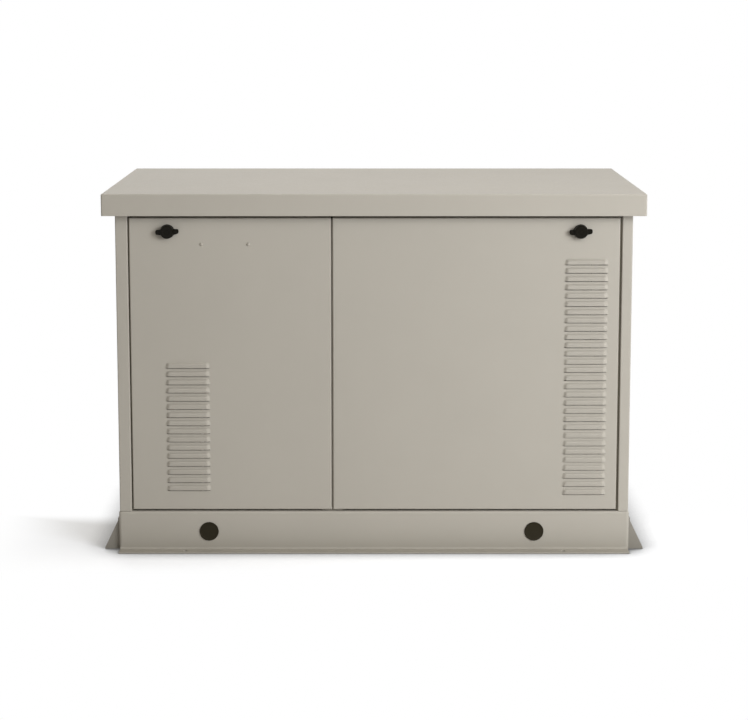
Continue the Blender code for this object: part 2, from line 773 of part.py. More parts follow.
for side_name, side in (("left", -1), ("right", 1)):
    middle = side * HINGE_X
    y, z = HINGE_AXIS.y, HINGE_AXIS.z
    half = HINGE_MIDDLE_LENGTH / 2
    reach = half + SEAT_GAP + HINGE_OUTER_LENGTH
    leaf_face = HALF_Y + SEAT_GAP
    frame_leaf = outline(
        f"hinge_frame_leaf_{side_name}",
        bent(
            [(leaf_face, z - FRAME_LEAF_HEIGHT), (leaf_face, z + 0.001), (y - 0.0040, z + 0.001)],
            -HINGE_SHEET,
        ),
        middle - half,
        middle + half,
        UPRIGHT_YZ,
        PAINT,
    )
    roof_inner = ROOF_HALF_Y - SHEET - SEAT_GAP
    plate = (roof_inner - HINGE_SHEET, roof_inner)
    roof_leaf = box(
        f"hinge_roof_leaf_{side_name}",
        (middle - reach, plate[0], z + HINGE_KNUCKLE_RADIUS + 0.001),
        (middle + reach, plate[1], z + ROOF_LEAF_HEIGHT),
        PAINT,
    )
    knuckles = [(frame_leaf, -half, half)]
    for start, end in ((-reach, -half - SEAT_GAP), (half + SEAT_GAP, reach)):
        knuckles.append((roof_leaf, start, end))
        join(
            roof_leaf,
            box(
                "hinge_tab",
                (middle + start, plate[0], z + 0.0031),
                (middle + end, plate[1], z + HINGE_KNUCKLE_RADIUS + 0.002),
            ),
        )
    for leaf, start, end in knuckles:
        join(
            leaf,
            cylinder(
                "hinge_knuckle",
                HINGE_KNUCKLE_RADIUS,
                (middle + start, y, z),
                (middle + end, y, z),
            ),
        )
    for leaf in (frame_leaf, roof_leaf):
        cut(
            leaf,
            cylinder(
                "hinge_bore",
                HINGE_PIN_RADIUS + SEAT_GAP,
                (middle - reach - 0.01, y, z),
                (middle + reach + 0.01, y, z),
            ),
        )
    cylinder(
        f"hinge_pin_{side_name}",
        HINGE_PIN_RADIUS,
        (middle - reach - 0.001, y, z),
        (middle + reach + 0.001, y, z),
        PLATED,
    )
    roof_pieces.append(roof_leaf)
pivot("roof_hinge_axis", HINGE_AXIS, *roof_pieces)

# ---------------------------------------------------------------- cradle and its isolators
cradle = box(
    "engine_cradle",
    (CRADLE_X[0], -CRADLE_HALF_Y, CRADLE_BOTTOM),
    (CRADLE_X[1], CRADLE_HALF_Y, CRADLE_TOP),
    ENAMEL,
)
cut(
    cradle,
    box(
        "cradle_window",
        (CRADLE_X[0] + CRADLE_RAIL, -CRADLE_HALF_Y + CRADLE_RAIL, CRADLE_BOTTOM - 0.01),
        (CRADLE_X[1] - CRADLE_RAIL, CRADLE_HALF_Y - CRADLE_RAIL, CRADLE_TOP + 0.01),
    ),
)
for end_name, x in (("left", CRADLE_X[0] + ISOLATOR_INSET[0]), ("right", CRADLE_X[1] - ISOLATOR_INSET[0])):
    for side_name, side in (("front", -1), ("rear", 1)):
        waist = ISOLATOR_RADIUS * ISOLATOR_WAIST
        turned(
            f"isolator_{side_name}_{end_name}",
            [
                (0, ISOLATOR_HEIGHT),
                (ISOLATOR_RADIUS, ISOLATOR_HEIGHT),
                (waist, ISOLATOR_HEIGHT / 2),
                (ISOLATOR_RADIUS, 0),
                (0, 0),
            ],
            (x, side * (CRADLE_HALF_Y - ISOLATOR_INSET[1]), FLOOR),
            (0, 0, 1),
            RUBBER,
            steps=16,
        )

# ---------------------------------------------------------------- engine
SLANT = math.sqrt(0.5)
seat = (DECK_DISTANCE * SLANT, SHAFT_Z + DECK_DISTANCE * SLANT)
low_corner = (seat[0] + HEAD_HALF * SLANT, seat[1] - HEAD_HALF * SLANT)
high_corner = (seat[0] - HEAD_HALF * SLANT, seat[1] + HEAD_HALF * SLANT)
right_half = [
    (SUMP_HALF_Y, ENGINE_FOOT),
    (SUMP_HALF_Y, ENGINE_FOOT + SUMP_LOW_SIDE),
    (low_corner[0], ENGINE_FOOT + SUMP_HIGH_SIDE),
    low_corner,
    high_corner,
]
crankcase = outline(
    "crankcase",
    right_half + [(-y, z) for y, z in reversed(right_half)],
    *CRANKCASE_X,
    UPRIGHT_YZ,
    CAST,
)
cut(
    crankcase,
    cylinder(
        "crank_bore",
        SHAFT_RADIUS + ROUND_CLEARANCE,
        (CRANKCASE_X[0] - 0.01, 0, SHAFT_Z),
        (CRANKCASE_X[1] + 0.01, 0, SHAFT_Z),
        segments=20,
    ),
)
for side_name, side in (("front", -1), ("rear", 1)):
    x = CYLINDER_XS[side_name]
    lean = Vector((0, side * SLANT, SLANT))
    shaft_point = Vector((x, 0, SHAFT_Z))
    start = DECK_DISTANCE + SEAT_GAP
    pitch = BARREL_LENGTH / FIN_COUNT
    profile = [(0, BARREL_LENGTH)]
    for i in range(FIN_COUNT):
        fin_top = BARREL_LENGTH - i * pitch
        profile += [
            (FIN_RADIUS, fin_top),
            (FIN_RADIUS, fin_top - pitch * 0.35),
            (BARREL_RADIUS, fin_top - pitch * 0.45),
            (BARREL_RADIUS, fin_top - pitch * 0.95 if i + 1 < FIN_COUNT else 0),
        ]
    profile.append((0, 0))
    turned(f"cylinder_{side_name}", profile, shaft_point + lean * start, lean, CAST)
    # the head is drawn upright over the shaft, and leaned over with its cylinder
    head_low = DECK_DISTANCE + BARREL_LENGTH + 2 * SEAT_GAP
    head = box(
        f"cylinder_head_{side_name}",
        (-HEAD_HALF, -HEAD_HALF, head_low),
        (HEAD_HALF, HEAD_HALF, head_low + HEAD_LENGTH),
        CAST,
        bevel=0.006,
    )
    turn = Matrix.Rotation(-side * math.radians(45), 4, "X")
    head.matrix_world = Matrix.Translation(shaft_point) @ turn @ head.matrix_world

head_middle = DECK_DISTANCE + BARREL_LENGTH + HEAD_LENGTH / 2
face_y = (head_middle - HEAD_HALF - 0.0008) * SLANT
face_z = SHAFT_Z + (head_middle + HEAD_HALF + 0.0008) * SLANT
air_middle = sum(AIR_X) / 2
tube(
    "intake_manifold",
    [
        (CYLINDER_XS["front"], -face_y, face_z),
        (CYLINDER_XS["front"], -face_y + 0.022, face_z + 0.022),
        (air_middle, 0, MANIFOLD_Z),
        (CYLINDER_XS["rear"], face_y - 0.022, face_z + 0.022),
        (CYLINDER_XS["rear"], face_y, face_z),
    ],
    MANIFOLD_RADIUS,
    CAST,
)
air_split, air_top = AIR_LOW + AIR_BASE_HEIGHT, AIR_LOW + AIR_HEIGHT
box(
    "air_cleaner_base",
    (AIR_X[0], -AIR_HALF_Y, AIR_LOW),
    (AIR_X[1], AIR_HALF_Y, air_split),
    BLACK_PLASTIC,
    0.004,
)
air_cover = box(
    "air_cleaner_cover",
    (AIR_X[0], -AIR_HALF_Y, air_split + SEAT_GAP),
    (AIR_X[1], AIR_HALF_Y, air_top),
    BLACK_PLASTIC,
    0.010,
)
knob_low, knob_top = (air_middle, 0, air_top - 0.010), (air_middle, 0, air_top + AIR_KNOB_RISE)
join(air_cover, cylinder("cover_knob", AIR_KNOB_RADIUS, knob_low, knob_top))

shroud = tray(
    "blower_housing",
    (SHROUD_X[0], -SHROUD_HALF_Y, ENGINE_FOOT),
    (SHROUD_X[1], SHROUD_HALF_Y, SHROUD_TOP),
    (-1, 0, 0),
    ENAMEL,
    SHROUD_SHEET,
)
cut(
    shroud,
    cylinder(
        "fan_intake",
        INTAKE_RADIUS,
        (SHROUD_X[1] - 0.01, 0, SHAFT_Z),
        (SHROUD_X[1] + 0.01, 0, SHAFT_Z),
        segments=28,
    ),
)
crankshaft = cylinder(
    "crankshaft", SHAFT_RADIUS, (SHAFT_X[0], 0, SHAFT_Z), (SHAFT_X[1], 0, SHAFT_Z), PLATED, segments=20
)
bore = SHAFT_RADIUS + SEAT_GAP
flywheel_length = FLYWHEEL_X[1] - FLYWHEEL_X[0]
flywheel = turned(
    "flywheel_fan",
    [
        (FLYWHEEL_HUB_RADIUS, flywheel_length),
        (FLYWHEEL_HUB_RADIUS, FLYWHEEL_RIM),
        (FLYWHEEL_RADIUS, FLYWHEEL_RIM),
        (FLYWHEEL_RADIUS, 0),
        (bore, 0),
        (bore, flywheel_length),
    ],
    (FLYWHEEL_X[0], 0, SHAFT_Z),
    (1, 0, 0),
    CAST,
    steps=24,
)
for i in range(BLADE_COUNT):
    blade = box(
        "fan_blade",
        (BLADE_X[0], -BLADE_HALF, BLADE_FROM),
        (BLADE_X[1], BLADE_HALF, FLYWHEEL_RADIUS - 2 * BLADE_HALF),
    )
    turn = Matrix.Rotation(math.tau * (i + 0.5) / BLADE_COUNT, 4, "X")
    blade.matrix_world = Matrix.Translation((0, 0, SHAFT_Z)) @ turn @ blade.matrix_world
    join(flywheel, blade)

# ---------------------------------------------------------------- alternator
rotor_length = ROTOR_X[1] - ROTOR_X[0]
rotor = turned(
    "alternator_rotor",
    [
        (ROTOR_RADIUS, rotor_length - ROTOR_SHOULDER[1]),
        (ROTOR_RADIUS, ROTOR_SHOULDER[1]),
        (ROTOR_SHOULDER[0], 0),
        (bore, 0),
        (bore, rotor_length),
        (ROTOR_SHOULDER[0], rotor_length),
    ],
    (ROTOR_X[0], 0, SHAFT_Z),
    (1, 0, 0),
    PLATED,
)
pivot("crank_axis", (0, 0, SHAFT_Z), crankshaft, flywheel, rotor)
stator_length = STATOR_X[1] - STATOR_X[0]
stator = turned(
    "alternator_housing",
    [
        (STATOR_RADIUS, stator_length),
        (STATOR_RADIUS, STATOR_END * 0.8),
        (STATOR_RADIUS - STATOR_END, 0),
        (SHAFT_RADIUS + ROUND_CLEARANCE, 0),
        (SHAFT_RADIUS + ROUND_CLEARANCE, STATOR_END),
        (STATOR_BORE, STATOR_END),
        (STATOR_BORE, stator_length),
    ],
    (STATOR_X[0], 0, SHAFT_Z),
    (1, 0, 0),
    CAST,
    steps=24,
)
join(
    stator,
    box(
        "alternator_foot",
        (STATOR_FOOT_X[0], -SUMP_HALF_Y, ENGINE_FOOT),
        (STATOR_FOOT_X[1], SUMP_HALF_Y, STATOR_FOOT_TOP),
    ),
)

# ---------------------------------------------------------------- exhaust
muffler = cylinder(
    "muffler",
    MUFFLER_RADIUS,
    (MUFFLER_X, -MUFFLER_HALF_LENGTH, MUFFLER_Z),
    (MUFFLER_X, MUFFLER_HALF_LENGTH, MUFFLER_Z),
    EXHAUST,
    segments=24,
)
tail = cylinder("tail_stub", TAIL_RADIUS, (MUFFLER_X, TAIL_Y, MUFFLER_Z), (TAIL_END, TAIL_Y, MUFFLER_Z))
join(muffler, tail)
half, depth = MUFFLER_BRACKET[0] / 2, MUFFLER_BRACKET[1]
for y in MUFFLER_BRACKET_YS:
    low, high = (MUFFLER_X - half, y, FLOOR), (MUFFLER_X + half, y + depth, MUFFLER_Z - 0.035)
    join(muffler, box("muffler_bracket", low, high))
muffler_face = MUFFLER_X - MUFFLER_RADIUS - 0.0005
for side_name, side in (("front", -1), ("rear", 1)):
    x = CYLINDER_XS[side_name] + HEAD_HALF + 0.0005
    head_y = side * head_middle * SLANT
    head_z = SHAFT_Z + head_middle * SLANT
    tube(
        f"exhaust_pipe_{side_name}",
        [
            (x, head_y, head_z),
            (x + PIPE_STRAIGHT, head_y, head_z),
            *[(bend_x, side * PIPE_Y, bend_z) for bend_x, bend_z in PIPE_BEND],
            (muffler_face - PIPE_STRAIGHT, side * PIPE_Y, MUFFLER_Z),
            (muffler_face, side * PIPE_Y, MUFFLER_Z),
        ],
        PIPE_RADIUS,
        EXHAUST,
    )

# ---------------------------------------------------------------- controls
face_top, face_low = (Vector(p) for p in CONTROL_FACE)
slope = (face_low - face_top).normalized()
facing = Vector((0, slope.y, -slope.x))
controller = outline(
    "controller_box",
    [
        (CONTROL_Y[0], CONTROL_LOW),
        (CONTROL_Y[1], CONTROL_LOW),
        (CONTROL_Y[1], face_top.y),
        tuple(face_top),
        tuple(face_low),
    ],
    *CONTROL_X,
    UPRIGHT_YZ,
    BLACK_PLASTIC,
)
face_middle = (face_top + face_low) / 2
for i, x in enumerate(BUTTON_XS):
    centre = Vector((x, face_middle.x, face_middle.y))
    cut(
        controller,
        cylinder(
            "button_pocket",
            BUTTON_RADIUS + SEAT_GAP,
            centre - facing * BUTTON_DEPTH,
            centre + facing * BUTTON_DEPTH,
            segments=12,
        ),
    )
    button = cylinder(
        f"controller_button_{i + 1}",
        BUTTON_RADIUS,
        centre - facing * BUTTON_SEAT,
        centre + facing * (BUTTON_DEPTH - BUTTON_SEAT),
        BUTTON_GREY,
        segments=12,
    )
    pivot(f"button_{i + 1}_axis", centre, button)

breaker = box(
    "circuit_breaker",
    (BREAKER_X[0], BREAKER_Y[0], BREAKER_Z[0]),
    (BREAKER_X[1], BREAKER_Y[1], BREAKER_Z[1]),
    ENAMEL,
)
toggle_x = (BREAKER_X[0] + BREAKER_X[1]) / 2
toggle_y = BREAKER_Y[0] + TOGGLE_INSET
toggle_z = (BREAKER_Z[0] + BREAKER_Z[1]) / 2
slot_x, slot_z = TOGGLE_SLOT_HALF
cut(
    breaker,
    box(
        "toggle_slot",
        (toggle_x - slot_x, BREAKER_Y[0] - 0.01, toggle_z - slot_z),
        (toggle_x + slot_x, toggle_y + TOGGLE_RADIUS + 0.0007, toggle_z + slot_z),
    ),
)
toggle = cylinder(
    "breaker_toggle",
    TOGGLE_RADIUS,
    (toggle_x - TOGGLE_HALF, toggle_y, toggle_z),
    (toggle_x + TOGGLE_HALF, toggle_y, toggle_z),
    BLACK_PLASTIC,
)
lever_x, lever_z = LEVER_HALF
lever = box("toggle_lever", (-lever_x, -LEVER_LENGTH, -lever_z), (lever_x, 0.0, lever_z))
lever.matrix_world = (
    Matrix.Translation((toggle_x, toggle_y, toggle_z))
    @ Matrix.Rotation(-TOGGLE_TILT, 4, "X")
    @ lever.matrix_world
)
join(toggle, lever)
pivot("toggle_axis", (toggle_x, toggle_y, toggle_z), toggle)

# ---------------------------------------------------------------- battery and fuel
battery = box("battery", (*BATTERY_LOW, FLOOR), (*BATTERY_HIGH, FLOOR + BATTERY_HEIGHT), BLACK_PLASTIC, 0.003)
for x, y in BATTERY_POSTS:
    post_low = (x, y, FLOOR + BATTERY_HEIGHT - 0.015)
    join(battery, cylinder("battery_post", BATTERY_POST_RADIUS, post_low, (x, y, BATTERY_POST_TOP)))

regulator_middle = sum(REGULATOR_Y) / 2
regulator = cylinder(
    "fuel_regulator",
    REGULATOR_RADIUS,
    (REGULATOR_X, REGULATOR_Y[0], REGULATOR_Z),
    (REGULATOR_X, REGULATOR_Y[1], REGULATOR_Z),
    CAST,
    segments=20,
)
join(
    regulator,
    box(
        "regulator_bracket",
        (REGULATOR_X - 0.015, REGULATOR_Y[0] + 0.010, FLOOR),
        (REGULATOR_X + 0.015, REGULATOR_Y[1] - 0.010, REGULATOR_BRACKET_TOP),
    ),
    cylinder(
        "regulator_outlet",
        OUTLET_RADIUS,
        (REGULATOR_X, regulator_middle, REGULATOR_Z + 0.040),
        (REGULATOR_X, regulator_middle, OUTLET_TOP),
    ),
)
# the hose rises from the outlet, goes through the bulkhead and ends just short of the manifold
tube(
    "fuel_hose",
    [
        (REGULATOR_X, regulator_middle, OUTLET_TOP + 0.0007),
        (REGULATOR_X, regulator_middle, 0.380),
        (-0.180, 0.145, 0.455),
        (SEAM_X, *HOSE_HOLE),
        (0.000, 0.120, 0.490),
        (0.110, 0.020, 0.525),
        (0.180, 0.000, MANIFOLD_Z),
        (air_middle - MANIFOLD_RADIUS - 0.002, 0.000, MANIFOLD_Z),
    ],
    HOSE_RADIUS,
    RUBBER,
)
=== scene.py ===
"""Looks of a home standby generator in a louvred sheet-metal enclosure.

Metres, +Z up, +X to the right of someone facing the front, and the front looks along -Y.
Sheet pieces are surfaces of two parameters, turned pieces are profiles carried round an axis,
and the machine inside is the frame's own solids with softened edges.
"""

import json
import math

import bmesh
import bpy
import numpy as np
from mathutils import Matrix, Vector

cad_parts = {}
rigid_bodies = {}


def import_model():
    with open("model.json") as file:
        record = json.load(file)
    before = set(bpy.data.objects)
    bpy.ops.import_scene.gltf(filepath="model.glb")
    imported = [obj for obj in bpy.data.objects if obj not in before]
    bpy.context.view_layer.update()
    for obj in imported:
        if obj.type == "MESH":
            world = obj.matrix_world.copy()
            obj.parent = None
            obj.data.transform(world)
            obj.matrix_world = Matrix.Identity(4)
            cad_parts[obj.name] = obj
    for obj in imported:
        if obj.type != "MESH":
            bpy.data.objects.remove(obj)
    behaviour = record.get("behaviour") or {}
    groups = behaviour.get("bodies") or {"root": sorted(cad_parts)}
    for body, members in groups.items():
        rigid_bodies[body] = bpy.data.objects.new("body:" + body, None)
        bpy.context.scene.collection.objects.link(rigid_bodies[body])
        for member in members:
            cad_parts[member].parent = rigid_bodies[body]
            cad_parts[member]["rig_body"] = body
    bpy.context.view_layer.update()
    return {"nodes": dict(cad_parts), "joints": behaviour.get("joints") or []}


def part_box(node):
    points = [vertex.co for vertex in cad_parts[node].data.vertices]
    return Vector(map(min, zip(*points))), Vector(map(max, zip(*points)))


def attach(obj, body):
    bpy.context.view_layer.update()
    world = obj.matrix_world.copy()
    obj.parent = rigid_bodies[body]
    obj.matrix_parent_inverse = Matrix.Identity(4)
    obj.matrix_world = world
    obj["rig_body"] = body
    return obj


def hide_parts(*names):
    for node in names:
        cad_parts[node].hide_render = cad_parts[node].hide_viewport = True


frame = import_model()
joints = {joint["name"]: joint for joint in frame["joints"]}

# ---------------------------------------------------------------- driving values
SHEET = 0.0015  # enclosure sheet
BASE_SHEET = 0.003
FOLD = 0.0028  # outer radius of a fold in the enclosure sheet
BASE_FOLD = 0.0055
LIP_BEND = 0.005
GUARD = 0.0006  # rows beside a fold keep the flats' shading flat
CORNER = 0.004  # radius of the roof's upright corners
BASE_CORNER = 0.007
BASE_OVER = 0.0015  # the base stands out past the panels by this
END_WALL = 0.574  # outer face of the end panels, from the middle
ROOF_HEM = 0.009

LOUVRE_PITCH = 0.01865
LOUVRE_HEIGHT = 0.0132
LOUVRE_RISE = 0.0056
LOUVRE_END = 0.0085  # length of the slope at each end of a louvre
LOUVRE_LEAN = 0.0035  # how far the ends lean inwards towards the top
LOUVRE_LIP = 0.0003
LOUVRE_SLOT = 0.0018  # the sheet is cut this far below a louvre's open edge
LEFT_LOUVRES = (-0.417, 0.102, 16, 0.139)  # middle, length, count, lowest edge
RIGHT_LOUVRES = (0.472, 0.100, 29, 0.130)
END_LOUVRES = {"left": (0.08, 0.20, 8), "right": (0.0, 0.24, 12)}  # middle, length, count
END_LOUVRE_MIDDLE = {"left": 0.42, "right": 0.36}
REAR_LOUVRES = (-0.30, 0.28, 12)
REAR_LOUVRE_MIDDLE = 0.42

SIDES = (("left", -1), ("right", 1))
CORNERS = ("front_left", "front_right", "rear_left", "rear_right")
LIFTING_HOLE_RADIUS = 0.0190
PLUG_SHANK_RADIUS = 0.0184
ANCHOR_X = 0.426
ANCHOR_RADIUS = 0.0055
WING_TILT = 0.045  # rise over run of the latch wings
LATCH_NUT_Y = -0.2797
RIVET_XS = (-0.383, -0.279)
RIVET_Z = 0.697
RIVET_RADIUS = 0.0042
RIVET_DOME = 0.0030
RIVET_ROOT = 0.0008
PANEL_SCREW_RADIUS = 0.0050
FOOT_SCREW_Z = 0.108
SEAL_HEIGHT = 0.0045
STOP_DEPTH = 0.016
STOP_SHEET = 0.0012
RIB_PITCH = 0.006  # of a ribbed conduit

PAINT_COLOUR = (0.432, 0.395, 0.331)
GLOSS_SPREAD = 0.08  # roughness varies this far either way
GROUND_SHADE_TOP = 0.09  # painted shade: the finish darkens below this height, towards the floor
# tint that the painted shade near the floor multiplies into the finish
GROUND_SHADE_TINT = (0.30, 0.29, 0.24, 1)
DUST = (0.36, 0.33, 0.28, 1)

CAMERA_PLACE = (0.0, -4.688, 1.242)
CAMERA_PITCH = math.radians(7.83)
CAMERA_LENS = 95.86
CAMERA_SHIFT = -0.12
WORLD_STRENGTH = 0.24
WORLD_COLOUR = (1.0, 0.958, 0.885, 1)
FLOOR_COLOUR = (0.62, 0.61, 0.60, 1)  # what the floor sends back onto the object
FLOOR_GAIN = 0.95
FLOOR_LIFT = 0.25
FLOOR_DROP = 0.0006
FLOOR_REACH = 30
SHADOW_HALF = (0.60, 0.34, 1)  # the shadow fades from outside this half size
SHADOW_REACH = 0.30
SHADOW_MIDDLE = -0.25  # the lamps' shadow shows in a band about this depth
# painted contact shadow on the floor: its reach, strength and colour
CONTACT_REACH = 0.09
CONTACT_DARK = 0.95
CONTACT_COLOUR = (0.13, 0.128, 0.125, 1)


# ---------------------------------------------------------------- shader helpers
def feed(tree, sockets, values):
    """Sets or links input sockets by name or number."""
    for key, value in values.items():
        if isinstance(value, bpy.types.NodeSocket):
            tree.links.new(value, sockets[key])
        else:
            sockets[key].default_value = value


def node(tree, kind, values=None, **settings):
    """A shader node with its settings set, and its inputs set or linked by name or number."""
    made = tree.nodes.new("ShaderNode" + kind)
    for key, value in settings.items():
        setattr(made, key, value)
    feed(tree, made.inputs, values or {})
    return made


def calc(tree, operation, *values, **settings):
    """The result of a Math node."""
    return node(tree, "Math", dict(enumerate(values)), operation=operation, **settings).outputs[0]


def vector_calc(tree, operation, *values, output=0):
    """The result of a Vector Math node."""
    return node(tree, "VectorMath", dict(enumerate(values)), operation=operation).outputs[output]


def remap(tree, value, low, high, to_low=0.0, to_high=1.0, kind="LINEAR"):
    """A value carried from one range to another, and held inside it."""
    given = {0: value, 1: low, 2: high, 3: to_low, 4: to_high}
    return node(tree, "MapRange", given, interpolation_type=kind).outputs[0]


def mix(tree, factor, low, high, blend="MIX"):
    """A colour between two colours."""
    mixed = node(tree, "Mix", {0: factor, 6: low, 7: high}, data_type="RGBA", blend_type=blend)
    return mixed.outputs[2]


def ramp(tree, value, stops):
    """A value or colour read off a ramp. stops are (place, level) or (place, colour)."""
    made = node(tree, "ValToRGB", {0: value})
    band = made.color_ramp
    while len(band.elements) < len(stops):
        band.elements.new(0.5)
    for element, (place, level) in zip(band.elements, stops):
        element.position = place
        element.color = (level, level, level, 1) if isinstance(level, (int, float)) else (*level, 1)
    return made.outputs[0]


def new_group(name, inputs, outputs):
    """A shader node group with named float or colour sockets."""
    tree = bpy.data.node_groups.new(name, "ShaderNodeTree")
    for sockets, direction in ((inputs, "INPUT"), (outputs, "OUTPUT")):
        for label, kind in sockets:
            tree.interface.new_socket(label, in_out=direction, socket_type="NodeSocket" + kind)
    return tree, tree.nodes.new("NodeGroupInput").outputs, tree.nodes.new("NodeGroupOutput").inputs


def use_group(tree, group, values):
    """Places a node group with its inputs set or linked, and gives its outputs."""
    made = tree.nodes.new("ShaderNodeGroup")
    made.node_tree = group
    feed(tree, made.inputs, values)
    return made.outputs


def build_grain_group():
    """Fine relief of a finish: two sizes of noise added up, and a slow tone that drifts over the piece."""
    tree, given, out = new_group(
        "fine_grain",
        [("Grain Size", "Float"), ("Coarse Share", "Float")],
        [("Height", "Float"), ("Tone", "Float")],
    )
    place = node(tree, "TexCoord").outputs["Object"]
    scale = calc(tree, "DIVIDE", 1.0, given["Grain Size"])
    wide = calc(tree, "MULTIPLY", scale, 0.22)
    fine = node(tree, "TexNoise", {"Vector": place, "Scale": scale, "Detail": 2.0}).outputs[0]
    coarse = node(tree, "TexNoise", {"Vector": place, "Scale": wide, "Detail": 1.0}).outputs[0]
    share = node(tree, "Mix", {0: given["Coarse Share"], 2: fine, 3: coarse}, data_type="FLOAT")
    drift = node(tree, "TexNoise", {"Vector": place, "Scale": 2.6, "Detail": 4.0, "Roughness": 0.6})
    tree.links.new(share.outputs[0], out["Height"])
    tree.links.new(drift.outputs[0], out["Tone"])
    return tree


def build_dust_and_ground_shade_group():
    """A film of dust: thicker near the ground and on upward faces, broken up by noise.

    Below a set height the finish also darkens, as painted shade, by the square of the share of the way to
    the ground.
    """
    tree, given, out = new_group(
        "dust_film_and_ground_shade",
        [("Colour", "Color"), ("Film", "Color"), ("Ground", "Float"), ("Top", "Float")],
        [("Colour", "Color"), ("Cover", "Float")],
    )
    place = node(tree, "TexCoord").outputs["Object"]
    height = node(tree, "SeparateXYZ", {0: place}).outputs["Z"]
    facing = node(tree, "SeparateXYZ", {0: node(tree, "NewGeometry").outputs["Normal"]}).outputs["Z"]
    near_ground = calc(tree, "POWER", remap(tree, height, GROUND_SHADE_TOP, 0.0), 2.0)
    cloud = node(tree, "TexNoise", {"Vector": place, "Scale": 9.0, "Detail": 6.0, "Roughness": 0.65})
    broken = remap(tree, cloud.outputs[0], 0.35, 0.7)
    low = calc(tree, "MULTIPLY", near_ground, given["Ground"])
    high = calc(tree, "MULTIPLY", remap(tree, facing, 0.4, 1.0), given["Top"])
    thin = calc(tree, "MULTIPLY", calc(tree, "ADD", low, high), 0.5)
    cover = calc(tree, "MULTIPLY", thin, broken, use_clamp=True)
    # painted shade: near the floor the colour darkens towards its product with the tint
    ground_shaded = mix(tree, low, given["Colour"], mix(tree, 1.0, given["Colour"], GROUND_SHADE_TINT, "MULTIPLY"))
    tree.links.new(mix(tree, cover, ground_shaded, given["Film"]), out["Colour"])
    tree.links.new(cover, out["Cover"])
    return tree


GRAIN = build_grain_group()
DUST_AND_GROUND_SHADE = build_dust_and_ground_shade_group()


def finish_material(
    name, colour, roughness=0.45, metallic=0.0, grain=0.001, coarse=0.3, relief=0.15, drift=0.06,
    ground=0.2, top=0.1, specular=0.5,
):
    """A finish with grain relief, slow tone drift, a dust film and painted shade near the floor. relief is
    in tenths of a millimetre.
    """
    material = bpy.data.materials.new(name)
    material.use_nodes = True
    tree = material.node_tree
    shader = tree.nodes["Principled BSDF"]
    texture = use_group(tree, GRAIN, {"Grain Size": grain, "Coarse Share": coarse})
    dark = tuple(c * (1 - drift) for c in colour)
    light = tuple(min(1.0, c * (1 + drift)) for c in colour)
    toned = ramp(tree, texture["Tone"], [(0.3, dark), (0.7, light)])
    film = use_group(tree, DUST_AND_GROUND_SHADE, {"Colour": toned, "Film": DUST, "Ground": ground, "Top": top})
    gloss = remap(tree, texture["Height"], 0.3, 0.7, roughness - GLOSS_SPREAD, roughness + GLOSS_SPREAD)
    dusty = node(tree, "Mix", {0: film["Cover"], 2: gloss, 3: 0.8}, data_type="FLOAT").outputs[0]
    bump = node(tree, "Bump", {"Height": texture["Height"], "Strength": 1.0, "Distance": relief * 1e-4})
    feed(tree, shader.inputs, {
        "Base Color": film["Colour"],
        "Roughness": dusty,
        "Normal": bump.outputs[0],
        "Metallic": metallic,
        "Specular IOR Level": specular,
    })
    return material


def glowing_material(name, colour, strength):
    """A small lamp or lit screen behind clear plastic, with a slightly uneven glow."""
    material = finish_material(name, colour, roughness=0.2, relief=0.0, ground=0, top=0)
    tree = material.node_tree
    place = node(tree, "TexCoord").outputs["Object"]
    uneven = node(tree, "TexNoise", {"Vector": place, "Scale": 60.0}).outputs[0]
    lit = ramp(tree, uneven, [(0.2, tuple(0.7 * c for c in colour)), (0.8, colour)])
    feed(tree, tree.nodes["Principled BSDF"].inputs, {"Emission Color": lit, "Emission Strength": strength})
    return material


PAINT = finish_material(
    "powder_coat", PAINT_COLOUR, 0.46, grain=0.0016, relief=0.30, drift=0.022, ground=0.30
)
BLACK = finish_material(
    "moulded_black", (0.0052, 0.0042, 0.0020), 0.38, grain=0.0008, relief=0.5,
    ground=0.04, top=0.02, specular=0.12,
)
PLUG = finish_material(
    "plug_black", (0.0225, 0.0182, 0.0095), 0.5, grain=0.0008, relief=0.5,
    ground=0.08, top=0.02, specular=0.10,
)
DARK_ZINC = finish_material(
    "black_zinc", (0.035, 0.033, 0.030), 0.5, 0.6, grain=0.002, relief=0.2, drift=0.15,
    specular=0.2,
)
# painted shade: the foot brackets take the enclosure's paint at 0.60, for the shade they stand in beside the
# base
SHADED_FOOT_PAINT = finish_material(
    "foot_paint_with_painted_shade", tuple(0.60 * c for c in PAINT_COLOUR), 0.55, grain=0.0016, relief=0.5,
    drift=0.05, ground=0.3,
)
ZINC = finish_material(
    "zinc_plate", (0.56, 0.56, 0.52), 0.36, 1.0, grain=0.004, relief=0.1, drift=0.15
)
CAST = finish_material(
    "cast_aluminium", (0.50, 0.50, 0.49), 0.5, 1.0, grain=0.0022, relief=1.2, drift=0.12
)
ENAMEL = finish_material(
    "black_enamel", (0.022, 0.022, 0.023), 0.3, grain=0.002, relief=0.4, top=0.15
)
RUBBER = finish_material("rubber", (0.018, 0.018, 0.018), 0.75, grain=0.0012, relief=0.6, drift=0.2)
